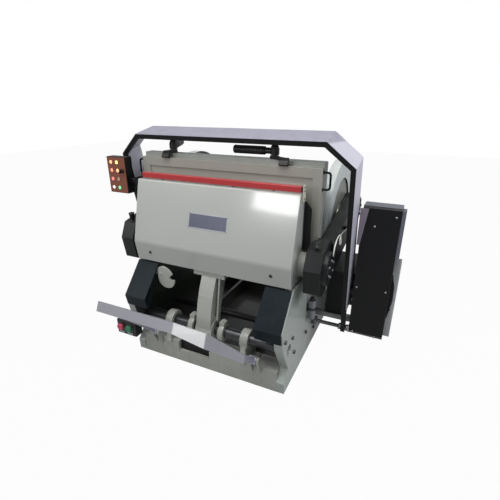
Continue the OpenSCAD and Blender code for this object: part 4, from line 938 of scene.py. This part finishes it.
# Panel: a face plate with two columns of lit lamps in bezels, each lens its own colour, from the bottom up.
panel = dict(
    wide=0.175, border=0.004, plateThick=0.002, lens=0.0125, bezel=0.017, lensTall=0.009, lampsIn=0.015,
    rows=(0, 0.3404, 0.6809, 1),
    colours=(("lampWhite", "lampRed", "lampOrange", "lampAmber"),
             ("lampGreen", "lampCopper", "lampAmber", "lampYellow")),
)
low, high = corners("panel_box")
lampLow, lampHigh = corners("panel_lamps")
front, border, lampsIn = low[1], panel["border"], panel["lampsIn"]
face = rectangle(low[0] + border, low[0] + panel["wide"] - border, low[2] + border, high[2] - border)
face = plate(softCorners(face, 0.006, 5), 0.0003, panel["plateThick"], 0.0006)
skins = [("panelBrown", stood(face, (0, front, 0)))]
r, b, seat = panel["lens"], panel["bezel"], 0.0021
t = np.linspace(0, math.pi / 2, 8)
dome = np.stack([r * np.cos(t) + 0.0006, 0.003 + (panel["lensTall"] - 0.003) * np.sin(t)], 1)
lens = revolve([(r, seat), *dome.tolist()], 28)
rim = revolve([(b, seat), (b, 0.0035), (b - 0.002, 0.0048), (r + 0.0003, 0.004), (r + 0.0003, seat),
               (b, seat)], 32)
for x, colours in zip((lampLow[0] + lampsIn, lampHigh[0] - lampsIn), panel["colours"]):
    for share, colour in zip(panel["rows"], colours):
        z = lampLow[2] + lampsIn + (lampHigh[2] - lampLow[2] - 2 * lampsIn) * share
        skins.append(("turnedSteel", stood(rim, (x, front, z))))
        skins.append((colour, stood(lens, (x, front, z))))
makePiece("panelLamps", "machine", skins, ["panel_lamps"])

# Panel knob: a turned skirt with a raised finger bar and a white pointer on it.
panelKnob = dict(
    skirt=((0.0089, -0.04), (0.0089, 0.0026), (0.0155, 0.003), (0.016, 0.006), (0.0145, 0.018),
           (0.013, 0.0215), (0.0006, 0.022)),
    bar=(0.009, 0.03), pointer=(0.0016, 0.012), pointerUp=0.008,
)
low, high = corners("panel_knob")
x, z = (low[0] + high[0]) / 2, (low[2] + high[2]) / 2
bar = plate(softCorners(block(*panelKnob["bar"]), 0.004, 5), 0.021, 0.034, 0.0025)
pointer = plate(softCorners(block(*panelKnob["pointer"]), 0.0007, 3), 0.0335, 0.0343, 0.0003)
skins = [("plasticBlack", stood(revolve(panelKnob["skirt"], 36), (x, front, z))),
         ("plasticBlack", stood(bar, (x, front, z))),
         ("plasticWhite", stood(pointer, (x, front, z + panelKnob["pointerUp"])))]
makePiece("panelKnob", "knob", skins, ["panel_knob"])
print("controls dressed")

# Belt cover trim: a mauve sheet at the front's upper left, dome screws, and a lighter grey strip up the right
# corner as painted sheen on the cover's side.
coverTrim = dict(
    sheetLow=0.928, sheetHigh=1.192, sheetLeft=0.897, sheetRight=0.953, taper=0.036,
    screws=((0.943, 0.222), (1.1, 0.21), (1.002, 1.073), (1.13, 1.15), (0.935, 0.6), (1.135, 0.6)),
    dome=((0.0075, 0.0002), (0.0072, 0.002), (0.0055, 0.0038), (0.002, 0.0046), (0.0005, 0.0047)),
    strip=((1.1604, 0.222), (1.163, 0.222), (1.184, 0.246), (1.184, 0.3), (1.1604, 0.3)),
    stripLow=0.862, stripHigh=1.196,
)
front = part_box("belt_cover")[0][1]
sheet = rectangle(*(coverTrim[key] for key in ("sheetLeft", "sheetRight", "sheetLow", "sheetHigh")))
sheet[1, 0] -= coverTrim["taper"]
skins = [("mauve", stood(plate(softCorners(sheet, 0.003, 4), 0.0002, 0.0022, 0.0006), (0, front, 0)))]
for x, z in coverTrim["screws"]:
    skins.append(("brightSteel", stood(revolve(coverTrim["dome"], 20), (x, front, z))))
strip = softCorners(coverTrim["strip"], 0.002, 4)
strip = plate(strip, coverTrim["stripLow"], coverTrim["stripHigh"], 0.0012)
skins.append(("coverSideSheen", upward(strip, (0, 0, 0))))
makePiece("coverTrim", "machine", skins)

# White caps on the ends of the hoop's rods.
hoopCap = dict(radius=0.031, seat=0.018, thick=0.0125, roundOver=0.003)
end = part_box("hoop_pivot_rods")[1][0]
r, soft, thick = hoopCap["radius"], hoopCap["roundOver"], hoopCap["thick"]
profile = [(hoopCap["seat"], 0.0003), (r, 0.0003), (r, thick - 0.0005 - soft), (r - soft, thick - 0.0005),
           (0.0006, thick)]
capSkin = sideways(revolve(profile, 32), (end, *pivots["hoop_push"][1:]))
makePiece("hoopRodCaps", "machine", [("guardWhite", capSkin), ("guardWhite", otherSide(capSkin))])

# Oil pot on the right frame: a can with a rolled bead, a black lid, and a strap on a foot.
oilPot = dict(
    place=(0.6545, 0.065, 0.352), radius=0.028, tall=0.15, lid=0.025, bead=0.0012, foot=(0.03, 0.05),
    footThick=0.0075,
)
r, h, top = oilPot["radius"], oilPot["tall"], oilPot["tall"] + oilPot["lid"]
waist = r - oilPot["bead"]
turned = dict(
    tankGrey=[(r - 0.004, 0), (r, 0.003), (r, h * 0.3), (waist, h * 0.31), (waist, h * 0.33), (r, h * 0.34),
              (r, h - 0.006), (r - 0.005, h)],
    plasticBlack=[(r - 0.006, h - 0.001), (r - 0.006, h + 0.006), (r - 0.009, h + 0.008),
                  (r - 0.009, top - 0.003), (r - 0.012, top)],
    boltSteel=[(r + 0.0004, h * 0.5), (r + 0.003, h * 0.5), (r + 0.003, h * 0.64), (r + 0.0004, h * 0.64),
               (r + 0.0004, h * 0.5)],
)
skins = [(kind, upward(revolve(profile, 32), oilPot["place"])) for kind, profile in turned.items()]
foot = plate(softCorners(block(*oilPot["foot"]), 0.004, 4), 0, oilPot["footThick"], 0.001)
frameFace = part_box("side_frame_right")[1][0] + 0.0002
skins.append(("boltSteel", sideways(foot, (frameFace, oilPot["place"][1], oilPot["place"][2] + h * 0.57))))
makePiece("oilPot", "machine", skins)
print("drive side dressed")

# Plain pale studio: floor, world and four soft lamps.
studio = dict(
    floorHalf=14.0, floorTone=(0.62, 0.62, 0.62), floorRough=0.8, whiteShare=0.97, glossShare=0.3,
    worldTone=(0.80, 0.82, 0.85), worldLight=0.3,
)
floor = bpy.data.objects.new("floor", bpy.data.meshes.new("floor"))
h = studio["floorHalf"]
floor.data.from_pydata([(-h, -h, 0), (h, -h, 0), (h, h, 0), (-h, h, 0)], [], [(0, 1, 2, 3)])
scene.collection.objects.link(floor)
floorMaterial = bpy.data.materials.new("floorPaint")
floorMaterial.use_nodes = True
tree = floorMaterial.node_tree
shader = tree.nodes["Principled BSDF"]
shader.inputs["Base Color"].default_value = linear(studio["floorTone"])
shader.inputs["Roughness"].default_value = studio["floorRough"]


# One where a ray comes straight from the camera or through glass, and a share of that where it comes off
# metal or gloss.
def seenRay(tree):
    path = put(tree, "LightPath").outputs
    direct = maths(tree, "MAXIMUM", path["Is Camera Ray"], path["Is Transmission Ray"])
    mirrored = maths(tree, "MULTIPLY", path["Is Glossy Ray"], studio["glossShare"])
    return maths(tree, "MAXIMUM", direct, mirrored)


white = put(tree, "Emission", None, Color=(1, 1, 1, 1), Strength=1.0)
share = maths(tree, "MULTIPLY", seenRay(tree), studio["whiteShare"])
mix = put(tree, "MixShader", None, i0=share, i1=shader.outputs[0], i2=white.outputs[0])
tree.links.new(mix.outputs[0], tree.nodes["Material Output"].inputs["Surface"])
floor.data.materials.append(floorMaterial)

world = bpy.data.worlds.new("studio")
scene.world = world
world.use_nodes = True
tree = world.node_tree
ground = tree.nodes["Background"]
ground.inputs["Color"].default_value = linear(studio["worldTone"])
ground.inputs["Strength"].default_value = studio["worldLight"]
bright = put(tree, "Background", None, Color=(1, 1, 1, 1), Strength=1.0)
mix = put(tree, "MixShader", None, i0=seenRay(tree), i1=ground.outputs[0], i2=bright.outputs[0])
tree.links.new(mix.outputs[0], tree.nodes["World Output"].inputs["Surface"])

# Each lamp: place, what it looks at, width and height, power in watts, colour.
lamps = dict(
    window=((-0.89, -3.87, 2.22), (0.47, -0.23, 1.29), 0.8, 0.38, 17, (1.0, 1.0, 1.0)),
    front=((-3.4, -3.6, 3.4), (0.0, -0.2, 1.0), 2.4, 1.8, 42, (1.0, 1.0, 1.0)),
    ceiling=((0.2, -0.9, 4.2), (0.0, 0.0, 0.8), 3.2, 2.6, 100, (1.0, 0.99, 0.97)),
    side=((4.0, 0.4, 2.4), (0.6, 0.2, 0.9), 2.2, 2.0, 60, (0.92, 0.95, 1.0)),
)
for name, (place, target, width, height, power, colour) in lamps.items():
    light = bpy.data.objects.new(name, bpy.data.lights.new(name, "AREA"))
    light.data.shape, light.data.size, light.data.size_y = "RECTANGLE", width, height
    light.data.energy, light.data.color = power, colour
    light.location = place
    dx, dy, dz = np.subtract(target, place)
    light.rotation_euler = (math.atan2(math.hypot(dx, dy), -dz), 0, math.atan2(dy, dx) - math.pi / 2)
    scene.collection.objects.link(light)
print("studio lit")
